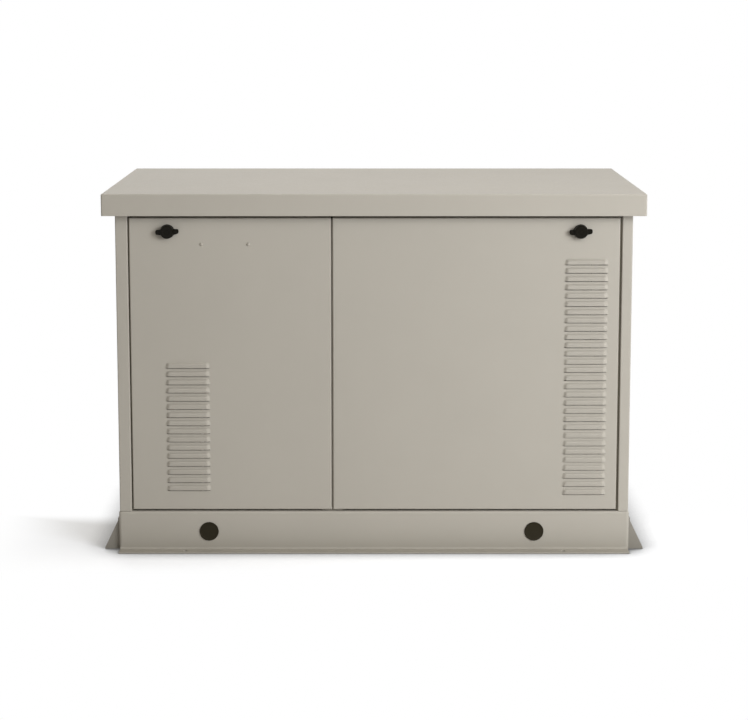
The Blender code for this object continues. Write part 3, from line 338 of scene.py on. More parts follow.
# painted shade: dark brown strips set in the gaps round the doors and panels, coloured as those gaps look in
# shade
SHADE_SEAL = finish_material(
    "gap_shade_seal", (0.12, 0.105, 0.078), 0.8, grain=0.0012, relief=0.4, specular=0.1
)
SEAM_SHADE_SEAL = finish_material(
    "seam_shade_seal", (0.125, 0.110, 0.082), 0.8, grain=0.0012, relief=0.4, specular=0.1
)
EXHAUST = finish_material(
    "hot_steel", (0.40, 0.37, 0.33), 0.42, 1.0, grain=0.006, relief=0.3, drift=0.35
)
FOAM = finish_material(
    "sound_foam", (0.06, 0.06, 0.062), 0.95, grain=0.005, relief=12.0, coarse=0.7
)
GREY = finish_material("button_grey", (0.30, 0.30, 0.31), 0.5, relief=0.3)
RED_JACKET = finish_material("red_jacket", (0.42, 0.02, 0.018), 0.42, grain=0.002, relief=0.3)
BRASS = finish_material(
    "brass_fitting", (0.62, 0.45, 0.18), 0.32, 1.0, grain=0.003, relief=0.2, drift=0.1
)
PAPER = finish_material("filter_can", (0.55, 0.56, 0.58), 0.35, grain=0.003, relief=0.2)
YELLOW = finish_material("yellow_handle", (0.62, 0.42, 0.03), 0.45, grain=0.002, relief=0.2)
SCREEN = glowing_material("lit_screen", (0.10, 0.22, 0.20), 0.15)
LAMP_GREEN = glowing_material("lamp_green", (0.03, 0.45, 0.06), 0.6)


# ---------------------------------------------------------------- mesh helpers
def grid_faces(rows, columns, keep=None):
    """Quads of a grid of points, row by row. keep is a mask of the quads that are made."""
    number = np.arange(rows * columns).reshape(rows, columns)
    quads = np.stack([number[:-1, :-1], number[1:, :-1], number[1:, 1:], number[:-1, 1:]], axis=-1)
    return quads[keep] if keep is not None else quads.reshape(-1, 4)


def shade(mesh, angle):
    """Smooth shading that stays sharp along the edges that turn more than the angle, in degrees."""
    mesh.shade_smooth()
    mesh.set_sharp_from_angle(angle=math.radians(angle))


def placed(name, data):
    """A new object in the scene."""
    obj = bpy.data.objects.new(name, data)
    bpy.context.scene.collection.objects.link(obj)
    return obj


def dressed(name, mesh, bm, material, body, smooth):
    """Ends work on a mesh, and makes it a piece with its shading, finish and body."""
    bm.to_mesh(mesh)
    bm.free()
    shade(mesh, smooth)
    mesh.materials.append(material)
    obj = placed(name, mesh)
    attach(obj, body)
    return obj


def piece(name, points, faces, material, body="enclosure", outward=None, smooth=40):
    """A mesh piece that rides on a body. Doubles are merged, and its faces are turned outwards."""
    mesh = bpy.data.meshes.new(name)
    mesh.from_pydata(np.asarray(points).reshape(-1, 3).tolist(), [], [list(f) for f in faces])
    bm = bmesh.new()
    bm.from_mesh(mesh)
    bmesh.ops.remove_doubles(bm, verts=bm.verts, dist=2e-6)
    bmesh.ops.dissolve_degenerate(bm, edges=bm.edges, dist=1e-6)
    if outward is None:
        bmesh.ops.recalc_face_normals(bm, faces=bm.faces)
    else:
        bm.normal_update()
        total = sum((f.normal * f.calc_area() for f in bm.faces), Vector())
        if total.dot(Vector(outward)) < 0:
            bmesh.ops.reverse_faces(bm, faces=bm.faces)
    return dressed(name, mesh, bm, material, body, smooth)


def settle(obj):
    """Applies an object's modifiers to its mesh."""
    graph = bpy.context.evaluated_depsgraph_get()
    made = bpy.data.meshes.new_from_object(obj.evaluated_get(graph))
    obj.modifiers.clear()
    obj.data = made


def thicken(obj):
    """Gives an open sheet its thickness, inwards from its outer face."""
    wall = obj.modifiers.new("sheet", "SOLIDIFY")
    wall.thickness = SHEET
    wall.offset = -1
    settle(obj)
    shade(obj.data, 32)
    return obj


def ease_edges(obj, width):
    """Rounds an object's sharp edges."""
    edge = obj.modifiers.new("edges", "BEVEL")
    edge.width = width
    edge.segments = 2
    edge.limit_method = "ANGLE"
    edge.angle_limit = math.radians(35)
    edge.use_clamp_overlap = True
    edge.harden_normals = True


def softened(name, material, width):
    """A frame node with merged points, clean flat faces and eased edges, in the node's place."""
    source = frame["nodes"][name]
    bm = bmesh.new()
    bm.from_mesh(source.data)
    bmesh.ops.remove_doubles(bm, verts=bm.verts, dist=1e-5)
    bmesh.ops.dissolve_limit(bm, angle_limit=math.radians(1.5), verts=bm.verts, edges=bm.edges)
    made_name = name + "_surface"
    mesh = bpy.data.meshes.new(made_name)
    obj = dressed(made_name, mesh, bm, material, source["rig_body"], 38)
    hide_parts(name)
    if width:
        ease_edges(obj, width)


# ---------------------------------------------------------------- curves and profiles
def folded(path, radius, steps=5):
    """A polyline with each corner turned into an arc of the given radius.

    The arc runs from radius * tan(turn / 2) before the corner to the same distance after it.
    """
    points = np.asarray(path, float)
    made = [points[:1]]
    for before, corner, after in zip(points, points[1:], points[2:]):
        into = (corner - before) / np.linalg.norm(corner - before)
        away = (after - corner) / np.linalg.norm(after - corner)
        turn = math.acos(float(np.clip(into @ away, -1, 1)))
        reach = radius * math.tan(turn / 2)
        side = away - into * (into @ away)
        side /= np.linalg.norm(side)
        angle = np.linspace(0, turn, steps + 1)[:, None]
        start = corner - into * reach
        arc = start + into * radius * np.sin(angle) + side * radius * (1 - np.cos(angle))
        made += [arc[:1] - into * GUARD, arc, arc[-1:] + away * GUARD]
    made.append(points[-1:])
    return np.concatenate(made)


def offset_outline(path, thickness):
    """Closed outline of a sheet: the path, and back along the path set off to its left."""
    points = np.asarray(path, float)
    along = np.gradient(points, axis=0)
    along /= np.linalg.norm(along, axis=1)[:, None]
    left = np.stack([-along[:, 1], along[:, 0]], axis=1)
    return np.concatenate([points, (points + left * thickness)[::-1]])


def extruded(name, outline, low, high, axis):
    """A flat outline of painted sheet carried in a straight line along an axis, closed at both ends."""
    outline = np.asarray(outline, float)
    count = len(outline)
    order = {"x": (2, 0, 1), "z": (0, 1, 2)}[axis]
    rings = [np.column_stack([outline, np.full(count, at)])[:, order] for at in (low, high)]
    number = np.arange(count)
    after = (number + 1) % count
    sides = np.stack([number, after, after + count, number + count], axis=1).tolist()
    faces = sides + [number.tolist(), (number + count)[::-1].tolist()]
    return piece(name, np.concatenate(rings), faces, PAINT)


def axes_for(direction):
    """Two unit vectors across a direction."""
    way = np.asarray(direction, float)
    way = way / np.linalg.norm(way)
    helper = np.array([0.0, 0.0, 1.0]) if abs(way[2]) < 0.9 else np.array([1.0, 0.0, 0.0])
    first = np.cross(helper, way)
    first /= np.linalg.norm(first)
    return way, first, np.cross(way, first)


def turned(name, profile, centre, direction, material, body="enclosure", sides=40, smooth=40):
    """A profile of (radius, distance along) carried round an axis.

    P(u, v) = centre + along(u) * axis + radius(u) * (cos v * first + sin v * second)
    """
    way, first, second = axes_for(direction)
    profile = np.asarray(profile, float)
    angle = np.linspace(0, math.tau, sides + 1)
    circle = np.cos(angle)[:, None] * first + np.sin(angle)[:, None] * second
    points = np.asarray(centre) + profile[:, 1, None, None] * way + profile[:, 0, None, None] * circle
    return piece(name, points, grid_faces(len(profile), sides + 1), material, body, smooth=smooth)


def smooth_route(route, spacing):
    """A Catmull-Rom curve through the route, whose first and last runs are straight."""
    points = np.asarray(route, float)
    ends = np.vstack([2 * points[0] - points[1], points, 2 * points[-1] - points[-2]])
    made = []
    for a, b, c, d in zip(ends, ends[1:], ends[2:], ends[3:]):
        count = max(3, int(np.linalg.norm(c - b) / spacing))
        t = np.linspace(0, 1, count, endpoint=False)[:, None]
        made.append(
            0.5 * (2 * b + (c - a) * t + (2 * a - 5 * b + 4 * c - d) * t**2 + (3 * b - a - 3 * c + d) * t**3)
        )
    return np.vstack([*made, points[-1:]])


def hose(name, route, radius, material, sides=16, ribs=0.0):
    """A round tube along a smooth curve, its frames turned as little as possible from ring to ring.

    P(s, v) = curve(s) + r(s) * (cos v * across(s) + sin v * over(s)), with r waved by the ribs.
    """
    line = smooth_route(route, radius * (0.6 if ribs else 1.2))
    along = np.gradient(line, axis=0)
    along /= np.linalg.norm(along, axis=1)[:, None]
    across = [axes_for(along[0])[1]]
    for way in along[1:]:
        turned_on = across[-1] - way * (across[-1] @ way)
        across.append(turned_on / np.linalg.norm(turned_on))
    across = np.array(across)
    over = np.cross(along, across)
    run = np.concatenate([[0], np.cumsum(np.linalg.norm(np.diff(line, axis=0), axis=1))])
    size = radius * (1 - ribs * (0.5 + 0.5 * np.cos(math.tau * run / RIB_PITCH)))
    angle = np.linspace(0, math.tau, sides + 1)
    circle = across[:, None] * np.cos(angle)[None, :, None] + over[:, None] * np.sin(angle)[None, :, None]
    rings = line[:, None] + circle * size[:, None, None]
    caps = [np.repeat(line[i][None, None], sides + 1, axis=1) for i in (0, -1)]
    points = np.concatenate([caps[0], rings, caps[1]])
    piece(name, points, grid_faces(len(points), sides + 1), material, smooth=50)


def rounded_block(name, low, high, radius, material, body="enclosure", turn=None, steps=4):
    """A block with round edges: each corner of the inner block plus radius times a unit direction.

    The directions come from a cube's grid with equal angles, so the flat faces fall between its signs.
    """
    low, high = np.asarray(low, float), np.asarray(high, float)
    half, middle = (high - low) / 2, (high + low) / 2
    size = np.tan(np.linspace(math.pi / 4, 0, steps + 1))
    size = np.concatenate([size, size[::-1]])
    sign = np.concatenate([-np.ones(steps + 1), np.ones(steps + 1)])
    first, second = np.meshgrid(np.arange(len(size)), np.arange(len(size)), indexing="ij")
    points, faces, start = [], [], 0
    for axis in range(3):
        for face in (-1, 1):
            ways = np.zeros((*first.shape, 3))
            signs = np.zeros_like(ways)
            others = [i for i in range(3) if i != axis]
            ways[..., axis] = signs[..., axis] = face
            for which, grid in zip(others, (first, second)):
                ways[..., which] = size[grid] * sign[grid]
                signs[..., which] = sign[grid]
            ways /= np.linalg.norm(ways, axis=-1, keepdims=True)
            points.append((middle + signs * (half - radius) + ways * radius).reshape(-1, 3))
            faces += (grid_faces(len(size), len(size)) + start).tolist()
            start += len(points[-1])
    points = np.concatenate(points)
    if turn is not None:
        points = points @ np.array(turn.to_3x3()).T + np.array(turn.translation)
    piece(name, points, faces, material, body, smooth=50)


def screw_head(name, centre, direction, radius, material=ZINC):
    """A flanged hexagon head: a round flange below, and a six-sided head with a domed top."""
    way, first, second = axes_for(direction)
    angle = np.linspace(0, math.tau, 25)
    sixth = math.tau / 6
    wave = math.cos(sixth / 2) / np.cos((angle % sixth) - sixth / 2)
    rings = [
        (0.0, np.zeros(25)),
        (0.0, np.full(25, radius)),
        (0.25 * radius, np.full(25, radius)),
        (0.4 * radius, wave * radius * 0.78),
        (0.95 * radius, wave * radius * 0.78),
        (1.1 * radius, np.full(25, radius * 0.58)),
        (1.12 * radius, np.zeros(25)),
    ]
    circle = np.cos(angle)[:, None] * first + np.sin(angle)[:, None] * second
    points = np.stack([np.asarray(centre) + h * way + r[:, None] * circle for h, r in rings])
    piece(name, points, grid_faces(len(rings), 25), material, smooth=30)


# ---------------------------------------------------------------- louvred sheet panels
def louvre_rows(lowest, count):
    """Heights of the grid rows that a column of louvres needs, from its lowest edge up."""
    guard = GUARD / LOUVRE_HEIGHT
    lip = LOUVRE_LIP / LOUVRE_HEIGHT
    slot = LOUVRE_SLOT / LOUVRE_HEIGHT
    hood = [0, 0.3, 0.6, 0.66, 0.72, 0.78, 0.84, 0.9, 0.95, 1.0]
    shares = np.array([-slot - guard, -slot, -lip, *hood, 1.0 + guard])
    return (lowest + LOUVRE_PITCH * np.arange(count)[:, None] + shares * LOUVRE_HEIGHT).ravel()


def louvre_columns(middle, length):
    """Grid columns of a louvre: close together on its sloping ends, far apart between them."""
    slope = np.concatenate([[-GUARD], np.linspace(0, LOUVRE_END + 0.003, 9)])
    left = middle - length / 2 + slope
    return np.concatenate([left, [middle], 2 * middle - left[::-1]])


def ease(t):
    """A smooth step from 0 to 1."""
    t = np.clip(t, 0, 1)
    return t * t * (3 - 2 * t)


def louvre_relief(across, up, middle, length, count, lowest):
    """How far the hoods stand out at each point of the sheet.

    Up a louvre, relief = (0.70 + 0.30 min(t / 0.6, 1)) * (1 - ease((t - 0.6) / 0.4)): the face leans
    down a little towards its open lower edge, and a short slope leads back to the sheet above.
    Along it, it falls off over the sloping ends, which lean inwards towards the top.
    """
    share = (up - lowest) / LOUVRE_PITCH
    which = np.floor(share + LOUVRE_LIP / LOUVRE_PITCH * 0.5)
    t = (up - lowest - which * LOUVRE_PITCH) / LOUVRE_HEIGHT
    real = (which >= 0) & (which < count) & (t > -1e-6) & (t <= 1)
    hood = (0.70 + 0.30 * np.clip(t / 0.6, 0, 1)) * (1 - ease((t - 0.6) / 0.4))
    from_end = length / 2 - np.abs(across - middle) - LOUVRE_LEAN * np.clip(t, 0, 1)
    return np.where(real, LOUVRE_RISE * hood * ease(from_end / LOUVRE_END), 0.0)


def sheet_panel(name, across, up, place, louvres, body="enclosure"):
    """A folded painted panel with louvres, as one surface of two parameters.

    across and up are folded paths of (distance, depth). A point's depth is the greater of its two
    depths less the louvre relief, and place(a, b, d) puts it in the frame. The open mouths under
    the hoods, and the corners where both edges turn in, are left out of the sheet.
    """
    across, up = np.asarray(across), np.asarray(up)
    a = np.broadcast_to(across[None, :, 0], (len(up), len(across)))
    b = np.broadcast_to(up[:, None, 0], a.shape)
    depth = np.maximum(across[None, :, 1], up[:, None, 1])
    flat = (across[None, :, 1] < 1e-9) & (up[:, None, 1] < 1e-9)
    relief = np.where(flat, louvre_relief(a, b, *louvres), 0.0)
    points = place(a, b, depth - relief)
    step = relief[1:] - relief[:-1]
    rise = (step[:, 1:] + step[:, :-1]) / 2
    mouth = (rise > 0.22 * LOUVRE_RISE) & ((b[1:, 1:] - b[:-1, 1:]) < 2 * LOUVRE_LIP)
    mouth[:-1] |= mouth[1:]
    turned_in = across[:, 1] > FOLD + 1e-6
    turned_up = up[:, 1] > FOLD + 1e-6
    corner = (turned_up[1:] | turned_up[:-1])[:, None] & (turned_in[1:] | turned_in[:-1])[None]
    faces = grid_faces(*a.shape, keep=~(mouth | corner))
    outward = place(0.0, 0.0, -1.0) - place(0.0, 0.0, 0.0)
    return thicken(piece(name, points, faces, PAINT, body, outward=outward, smooth=32))


def with_stops(path, stops):
    """A folded path of (distance, depth) with more points on its flat middle run."""
    path = np.asarray(path, float)
    gap = int(np.argmax(np.abs(np.diff(path[:, 0]))))
    low, high = sorted((path[gap, 0], path[gap + 1, 0]))
    inside = np.unique(np.round(stops, 7))
    inside = inside[(inside > low + 1e-5) & (inside < high - 1e-5)]
    if path[gap, 0] > path[gap + 1, 0]:
        inside = inside[::-1]
    extra = np.column_stack([inside, np.zeros(len(inside))])
    return np.vstack([path[: gap + 1], extra, path[gap + 1 :]])


def stacked(x, y, z):
    """Points from three grids or numbers."""
    return np.stack(np.broadcast_arrays(x, y, z), axis=-1)


def make_front_panel(side, louvres):
    """A door: a flat sheet with all four edges folded back, and one column of louvres."""
    node_name = f"front_panel_{side}"
    low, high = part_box(node_name)
    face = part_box("end_panel_left")[0].y
    back = high.y - face
    middle, length, count, lowest = louvres
    across = folded([(low.x, back), (low.x, 0), (high.x, 0), (high.x, back)], FOLD)
    up = folded([(low.z, back), (low.z, 0), (high.z, 0), (high.z, back)], FOLD)
    columns, rows = louvre_columns(middle, length), louvre_rows(lowest, count)
    across = with_stops(across, np.concatenate([columns, np.linspace(low.x, high.x, 9)]))
    up = with_stops(up, np.concatenate([rows, np.linspace(low.z, high.z, 13)]))
    panel = sheet_panel(
        f"{side}_door_skin", across, up, lambda a, b, d: stacked(a, face + d, b), louvres, f"{side}_panel"
    )
    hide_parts(node_name)


def centred_lowest(middle, count):
    """Lowest edge of a louvre column, from the height of its middle."""
    return middle - LOUVRE_HEIGHT / 2 - LOUVRE_PITCH * (count - 1) / 2


def make_end_panel(side, sign):
    """An end panel wraps round the front and rear corners as posts, and turns in behind them."""
    low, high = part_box(f"end_panel_{side}")
    wall = sign * END_WALL
    front, rear = low.y, high.y
    post = (high.x - wall) if side == "left" else (wall - low.x)
    middle_y, length, count = END_LOUVRES[side]
    lowest = centred_lowest(END_LOUVRE_MIDDLE[side], count)
    path = [(front + 0.015, post), (front, post), (front, 0), (rear, 0), (rear, post), (rear - 0.015, post)]
    across = with_stops(folded(path, FOLD), louvre_columns(middle_y, length))
    up = [(low.z, 0), *[(z, 0) for z in louvre_rows(lowest, count)], (high.z, 0)]
    louvres = (middle_y, length, count, lowest)
    panel = sheet_panel(
        f"{side}_end_skin", across, up, lambda a, b, d: stacked(wall - sign * d, a, b), louvres
    )
    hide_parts(f"end_panel_{side}")


def make_rear_panel():
    """The rear panel, with its upright edges folded in and a wide grille of louvres."""
    low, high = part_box("rear_panel")
    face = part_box("end_panel_left")[1].y
    middle, length, count = REAR_LOUVRES
    lowest = centred_lowest(REAR_LOUVRE_MIDDLE, count)
    path = [(low.x, face - low.y), (low.x, 0), (high.x, 0), (high.x, face - low.y)]
    across = with_stops(folded(path, FOLD), louvre_columns(middle, length))
    up = [(low.z, 0), *[(z, 0) for z in louvre_rows(lowest, count)], (high.z, 0)]
    louvres = (middle, length, count, lowest)
    panel = sheet_panel("rear_skin", across, up, lambda a, b, d: stacked(a, face - d, b), louvres)
    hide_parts("rear_panel")


# ---------------------------------------------------------------- pans: roof and base
def corner_ring(half_x, half_y, radius, inset, per_corner=7):
    """Outline of a rectangle with round corners, set in by each inset: one row per inset.

    Each corner's arc has one more point on the straight run before it and one after it.
    """
    inset = np.asarray(inset, float)[:, None]
    turn = np.concatenate([[0], np.linspace(0, math.pi / 2, per_corner), [math.pi / 2]])
    angle = np.concatenate([turn + k * math.pi / 2 for k in range(4)])
    slide = np.tile([-GUARD, *np.zeros(per_corner), GUARD], 4)
    x_side = np.repeat([1, -1, -1, 1], per_corner + 2)
    y_side = np.repeat([1, 1, -1, -1], per_corner + 2)
    bend = np.maximum(radius - inset, 0.0004)
    x = x_side * (half_x - inset - bend) + bend * np.cos(angle) - slide * np.sin(angle)
    y = y_side * (half_y - inset - bend) + bend * np.sin(angle) + slide * np.cos(angle)
    return np.concatenate([x, x[:, :1]], 1), np.concatenate([y, y[:, :1]], 1)


def make_pan(name, half_x, half_y, low, top, fold, corner, sheet, body="enclosure", hem=0.0):
    """A pan folded from sheet: a profile of (inset, height, share) carried round the outline.

    share draws a row in towards the middle, where the sheet's two faces close.
    """
    turn = np.linspace(0, math.pi / 2, 7)
    inner = fold - sheet
    rows = [(0.05, top, 0.0), (0.05, top, 0.5), (0.02, top, 1), (fold + GUARD, top, 1)]
    rows += [(fold * (1 - math.sin(t)), top - fold * (1 - math.cos(t)), 1) for t in turn]
    rows.append((0, top - fold - GUARD, 1))
    if hem:
        rows += [(0, low + 0.0012, 1), (0, low + 0.0006, 1), (0.0003, low, 1)]
        rows += [(sheet * 1.9, low, 1), (sheet * 2.1, low + 0.0006, 1)]
        rows += [(sheet * 2.1, low + hem, 1), (sheet, low + hem + 0.0004, 1)]
    else:
        rows += [(0, low + 0.0003, 1), (0.0003, low, 1), (sheet, low, 1)]
    rows += [
        (sheet + inner * (1 - math.sin(t)), top - sheet - inner * (1 - math.cos(t)), 1) for t in turn[::-1]
    ]
    rows += [(0.02, top - sheet, 1), (0.05, top - sheet, 0.5), (0.05, top - sheet, 0.0)]
    rows = np.array(rows)
    x, y = corner_ring(half_x, half_y, corner, rows[:, 0])
    share = rows[:, 2, None]
    points = stacked(x * share, y * share, rows[:, 1, None])
    return piece(name, points, grid_faces(*x.shape), PAINT, body, smooth=38)


def drill(obj, holes):
    """Cuts round holes, each (radius, start, end), with an exact difference."""
    cutters = []
    for radius, start, end in holes:
        start, end = Vector(start), Vector(end)
        bm = bmesh.new()
        bmesh.ops.create_cone(
            bm, cap_ends=True, segments=36, radius1=radius, radius2=radius, depth=(end - start).length
        )
        turn = (end - start).to_track_quat("Z", "X").to_matrix().to_4x4()
        bmesh.ops.transform(bm, matrix=Matrix.Translation((start + end) / 2) @ turn, verts=bm.verts)
        mesh = bpy.data.meshes.new("drill")
        bm.to_mesh(mesh)
        bm.free()
        cutters.append(placed("drill", mesh))
        step = obj.modifiers.new("hole", "BOOLEAN")
        step.operation = "DIFFERENCE"
        step.solver = "EXACT"
        step.object = cutters[-1]
    bpy.context.view_layer.update()
    settle(obj)
    for cutter in cutters:
        bpy.data.objects.remove(cutter)
    shade(obj.data, 38)


def make_roof():
    """The roof: a pan with a hemmed lower edge."""
    low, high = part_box("roof_panel")
    roof = make_pan("roof_skin", high.x, high.y, low.z, high.z, FOLD, CORNER, SHEET, "roof", ROOF_HEM)
    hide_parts("roof_panel")


def make_base():
    """The base pan with its lifting holes and plugs, and the ground lips folded out of it."""
    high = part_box("base_pan")[1]
    wall_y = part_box("end_panel_left")[1].y + BASE_OVER
    base = make_pan("base_skin", high.x, wall_y, 0.0, high.z, BASE_FOLD, BASE_CORNER, BASE_SHEET)
    holes = []
    for name in CORNERS:
        plug_low, plug_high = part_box("lifting_hole_plug_" + name)
        x, y, z = (plug_low + plug_high) / 2
        holes.append((LIFTING_HOLE_RADIUS, (x, y - 0.03, z), (x, y + 0.03, z)))
    drill(base, holes)
    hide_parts("base_pan")
    for side, sign in (("front", -1), ("rear", 1)):
        wall, edge = sign * wall_y, sign * high.y
        inner = sign * (wall_y - BASE_OVER)
        fillet = [
            (wall + sign * LIP_BEND * (1 - math.cos(t)), BASE_SHEET + LIP_BEND * (1 - math.sin(t)))
            for t in np.linspace(0, math.pi / 2, 7)
        ]
        fillet.append((wall + sign * (LIP_BEND + GUARD), BASE_SHEET))
        outline = [(inner, BASE_SHEET + LIP_BEND), *fillet, (edge, BASE_SHEET), (edge, 0.0), (inner, 0.0)]
        lip = extruded(f"base_lip_{side}", outline, -high.x + 0.002, high.x - 0.002, "x")
        middle = sign * (wall_y + 0.0165)
        holes = [(ANCHOR_RADIUS, (x, middle, -0.01), (x, middle, 0.0045)) for x in (-ANCHOR_X, ANCHOR_X)]
        drill(lip, holes)
        ease_edges(lip, 0.0006)
    for name in CORNERS:
        make_plug(name)


def make_plug(name):
    """A push-in plug: a thin domed cap with a rolled rim and a shallow ring."""
    node_name = "lifting_hole_plug_" + name
    low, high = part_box(node_name)
    sign = -1 if name.startswith("front") else 1
    wall = (high.y - 0.007) if sign < 0 else (low.y + 0.007)
    radius = (high.x - low.x) / 2
    middle = (low + high) / 2
    profile = [
        (0, 0.0030),
        (radius * 0.45, 0.0029),
        (radius * 0.78, 0.0024),
        (radius * 0.84, 0.0026),
        (radius * 0.93, 0.0031),
        (radius * 0.985, 0.0022),
        (radius, 0.0010),
        (radius * 0.99, 0.0003),
        (PLUG_SHANK_RADIUS, 0.0003),
        (PLUG_SHANK_RADIUS, -0.0070),
        (0, -0.0070),
    ]
    plug = turned("hole_plug_" + name, profile, (middle.x, wall, middle.z), (0, sign, 0), PLUG, sides=56)
    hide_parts(node_name)


# ---------------------------------------------------------------- latches, rivets and hinges
def make_latch(side):
    """A quarter-turn latch: a round hub with a turned face, a wing through it, and a cam with its nut.

    The wing is a lofted bar. Its half height and half depth fall off towards the tips and swell
    again just before them, and its middle line rises to one side and dips at the hub.
    """
    body = f"{side}_latch"
    x, face, z = joints[f"{side}_latch_turn"]["pos_m"]
    low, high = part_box(f"latch_knob_{side}")
    back = face - 0.0003
    disc = (high.z - low.z) / 2
    hub = back - low.y
    profile = [
        (0, hub - 0.0012),
        (disc * 0.30, hub - 0.0010),
        (disc * 0.34, hub - 0.0016),
        (disc * 0.40, hub - 0.0010),
        (disc * 0.70, hub),
        (disc * 0.84, hub - 0.0006),
        (disc * 0.91, hub - 0.0022),
        (disc * 0.935, hub - 0.0050),
        (disc * 0.96, 0.0022),
        (disc, 0.0014),
        (disc * 0.99, 0.0),
        (0.004, 0.0),
        (0.004, -0.0270),
        (0, -0.0270),
    ]
    seat = turned(f"{side}_latch_hub", profile, (x, back, z), (0, -1, 0), BLACK, body, sides=56)
    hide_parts(f"latch_knob_{side}")
    reach = (high.x - low.x) / 2
    s = np.linspace(-1, 1, 45)[:, None]
    angle = np.linspace(0, math.tau, 33)[None]
    end = np.clip(1 - np.abs(s) ** 12, 0, 1) ** 0.4
    flare = np.exp(-(((np.abs(s) - 0.92) / 0.05) ** 2))
    half_height = (0.0080 - 0.0026 * np.abs(s) + 0.0003 * flare) * end
    half_depth = (0.0046 - 0.0012 * np.abs(s) + 0.0004 * flare) * end
    cos, sin = np.cos(angle), np.sin(angle)
    over = np.sign(cos) * np.abs(cos) ** 0.6 * half_height + WING_TILT * reach * s - 0.0016 * (1 - np.abs(s))
    out = np.sign(sin) * np.abs(sin) ** 0.6 * half_depth
    points = stacked(x + s * reach, back - 0.0082 - out, z + over)
    piece(f"{side}_latch_wing", points, grid_faces(*out.shape), BLACK, body, smooth=50)
    softened(f"latch_cam_{side}", DARK_ZINC, 0.0006)
    nut = [(0, 0.0042), (0.0068, 0.0042), (0.0072, 0.0036), (0.0072, 0.0), (0, 0.0)]
    turned(f"{side}_latch_nut", nut, (x, LATCH_NUT_Y, z), (0, 1, 0), ZINC, body, sides=6, smooth=20)
    softened(f"latch_keeper_{side}", DARK_ZINC, 0.0003)


def make_rivets():
    """Two domed rivets painted over with the panel: height = h * (1 - (r / R) ^ 2)."""
    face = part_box("end_panel_left")[0].y
    profile = [(RIVET_RADIUS * s, RIVET_DOME * (1 - s**2)) for s in np.linspace(0, 1, 9)]
    profile += [(RIVET_RADIUS, -RIVET_ROOT), (0, -RIVET_ROOT)]
    for number, x in enumerate(RIVET_XS):
        place = (x, face, RIVET_Z)
        turned(f"door_rivet_{number + 1}", profile, place, (0, -1, 0), PAINT, "left_panel", sides=28)


def make_hinges():
    """The roof's two hinges, with the screws of their lower leaves."""
    for side, _ in SIDES:
        softened(f"hinge_frame_leaf_{side}", PAINT, 0.0004)
        softened(f"hinge_roof_leaf_{side}", PAINT, 0.0004)
        softened(f"hinge_pin_{side}", ZINC, 0.0005)
        low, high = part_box(f"hinge_frame_leaf_{side}")
        for mark, step in (("a", -0.008), ("b", 0.008)):
            place = ((low.x + high.x) / 2 + step, low.y + 0.002, low.z + 0.018)
            screw_head(f"hinge_screw_{side}_{mark}", place, (0, 1, 0), 0.0046)


def make_panel_screws():
    """Flanged screws that hold the fixed panels, down the rear corner posts and along the feet."""
    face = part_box("end_panel_left")[1].y
    for side, x in (("left", -0.5603), ("right", 0.5623)):
        for number, z in enumerate((0.130, 0.340, 0.550, 0.735)):
            name = f"{side}_post_screw_{number + 1}"
            screw_head(name, (x, face, z), (0, 1, 0), PANEL_SCREW_RADIUS, PAINT)
    for number, x in enumerate((-0.50, -0.17, 0.17, 0.50)):
        name = f"rear_foot_screw_{number + 1}"
        screw_head(name, (x, face, FOOT_SCREW_Z), (0, 1, 0), PANEL_SCREW_RADIUS, PAINT)
    for side, sign in SIDES:
        for number, y in enumerate((-0.24, 0.0, 0.24)):
            name, place = f"{side}_end_screw_{number + 1}", (sign * END_WALL, y, FOOT_SCREW_Z)
            screw_head(name, place, (sign, 0, 0), PANEL_SCREW_RADIUS, PAINT)


def make_door_stops():
    """Folded stops that close the gaps beside and above the doors, and the post behind their joint."""
    left_low, left_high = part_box("front_panel_left")
    right_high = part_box("front_panel_right")[1]
    back = left_high.y + 0.0006
    foot, top = left_low.z, left_high.z
    for name, edge, sign in (("left", left_low.x, -1), ("right", right_high.x, 1)):
        inner, outer = edge - sign * 0.006, edge + sign * 0.0042
        path = folded([(inner, back + STOP_DEPTH), (inner, back), (outer, back)], 0.002)
        extruded(f"door_stop_{name}", offset_outline(path, sign * STOP_SHEET), foot, top, "z")
    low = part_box("front_top_rail")[0]
    path = folded([(low.y + 0.012, low.z - 0.0004), (low.y, low.z - 0.0004), (low.y, top - 0.012)], 0.002)
    extruded("rail_front_strip", offset_outline(path, STOP_SHEET), left_low.x, right_high.x, "x")
    low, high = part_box("centre_post")
    path = folded([(low.x, high.y), (low.x, low.y), (high.x, low.y), (high.x, high.y)], 0.003)
    post = extruded("door_post", offset_outline(path, SHEET), low.z, top - 0.004, "z")
    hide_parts("centre_post")


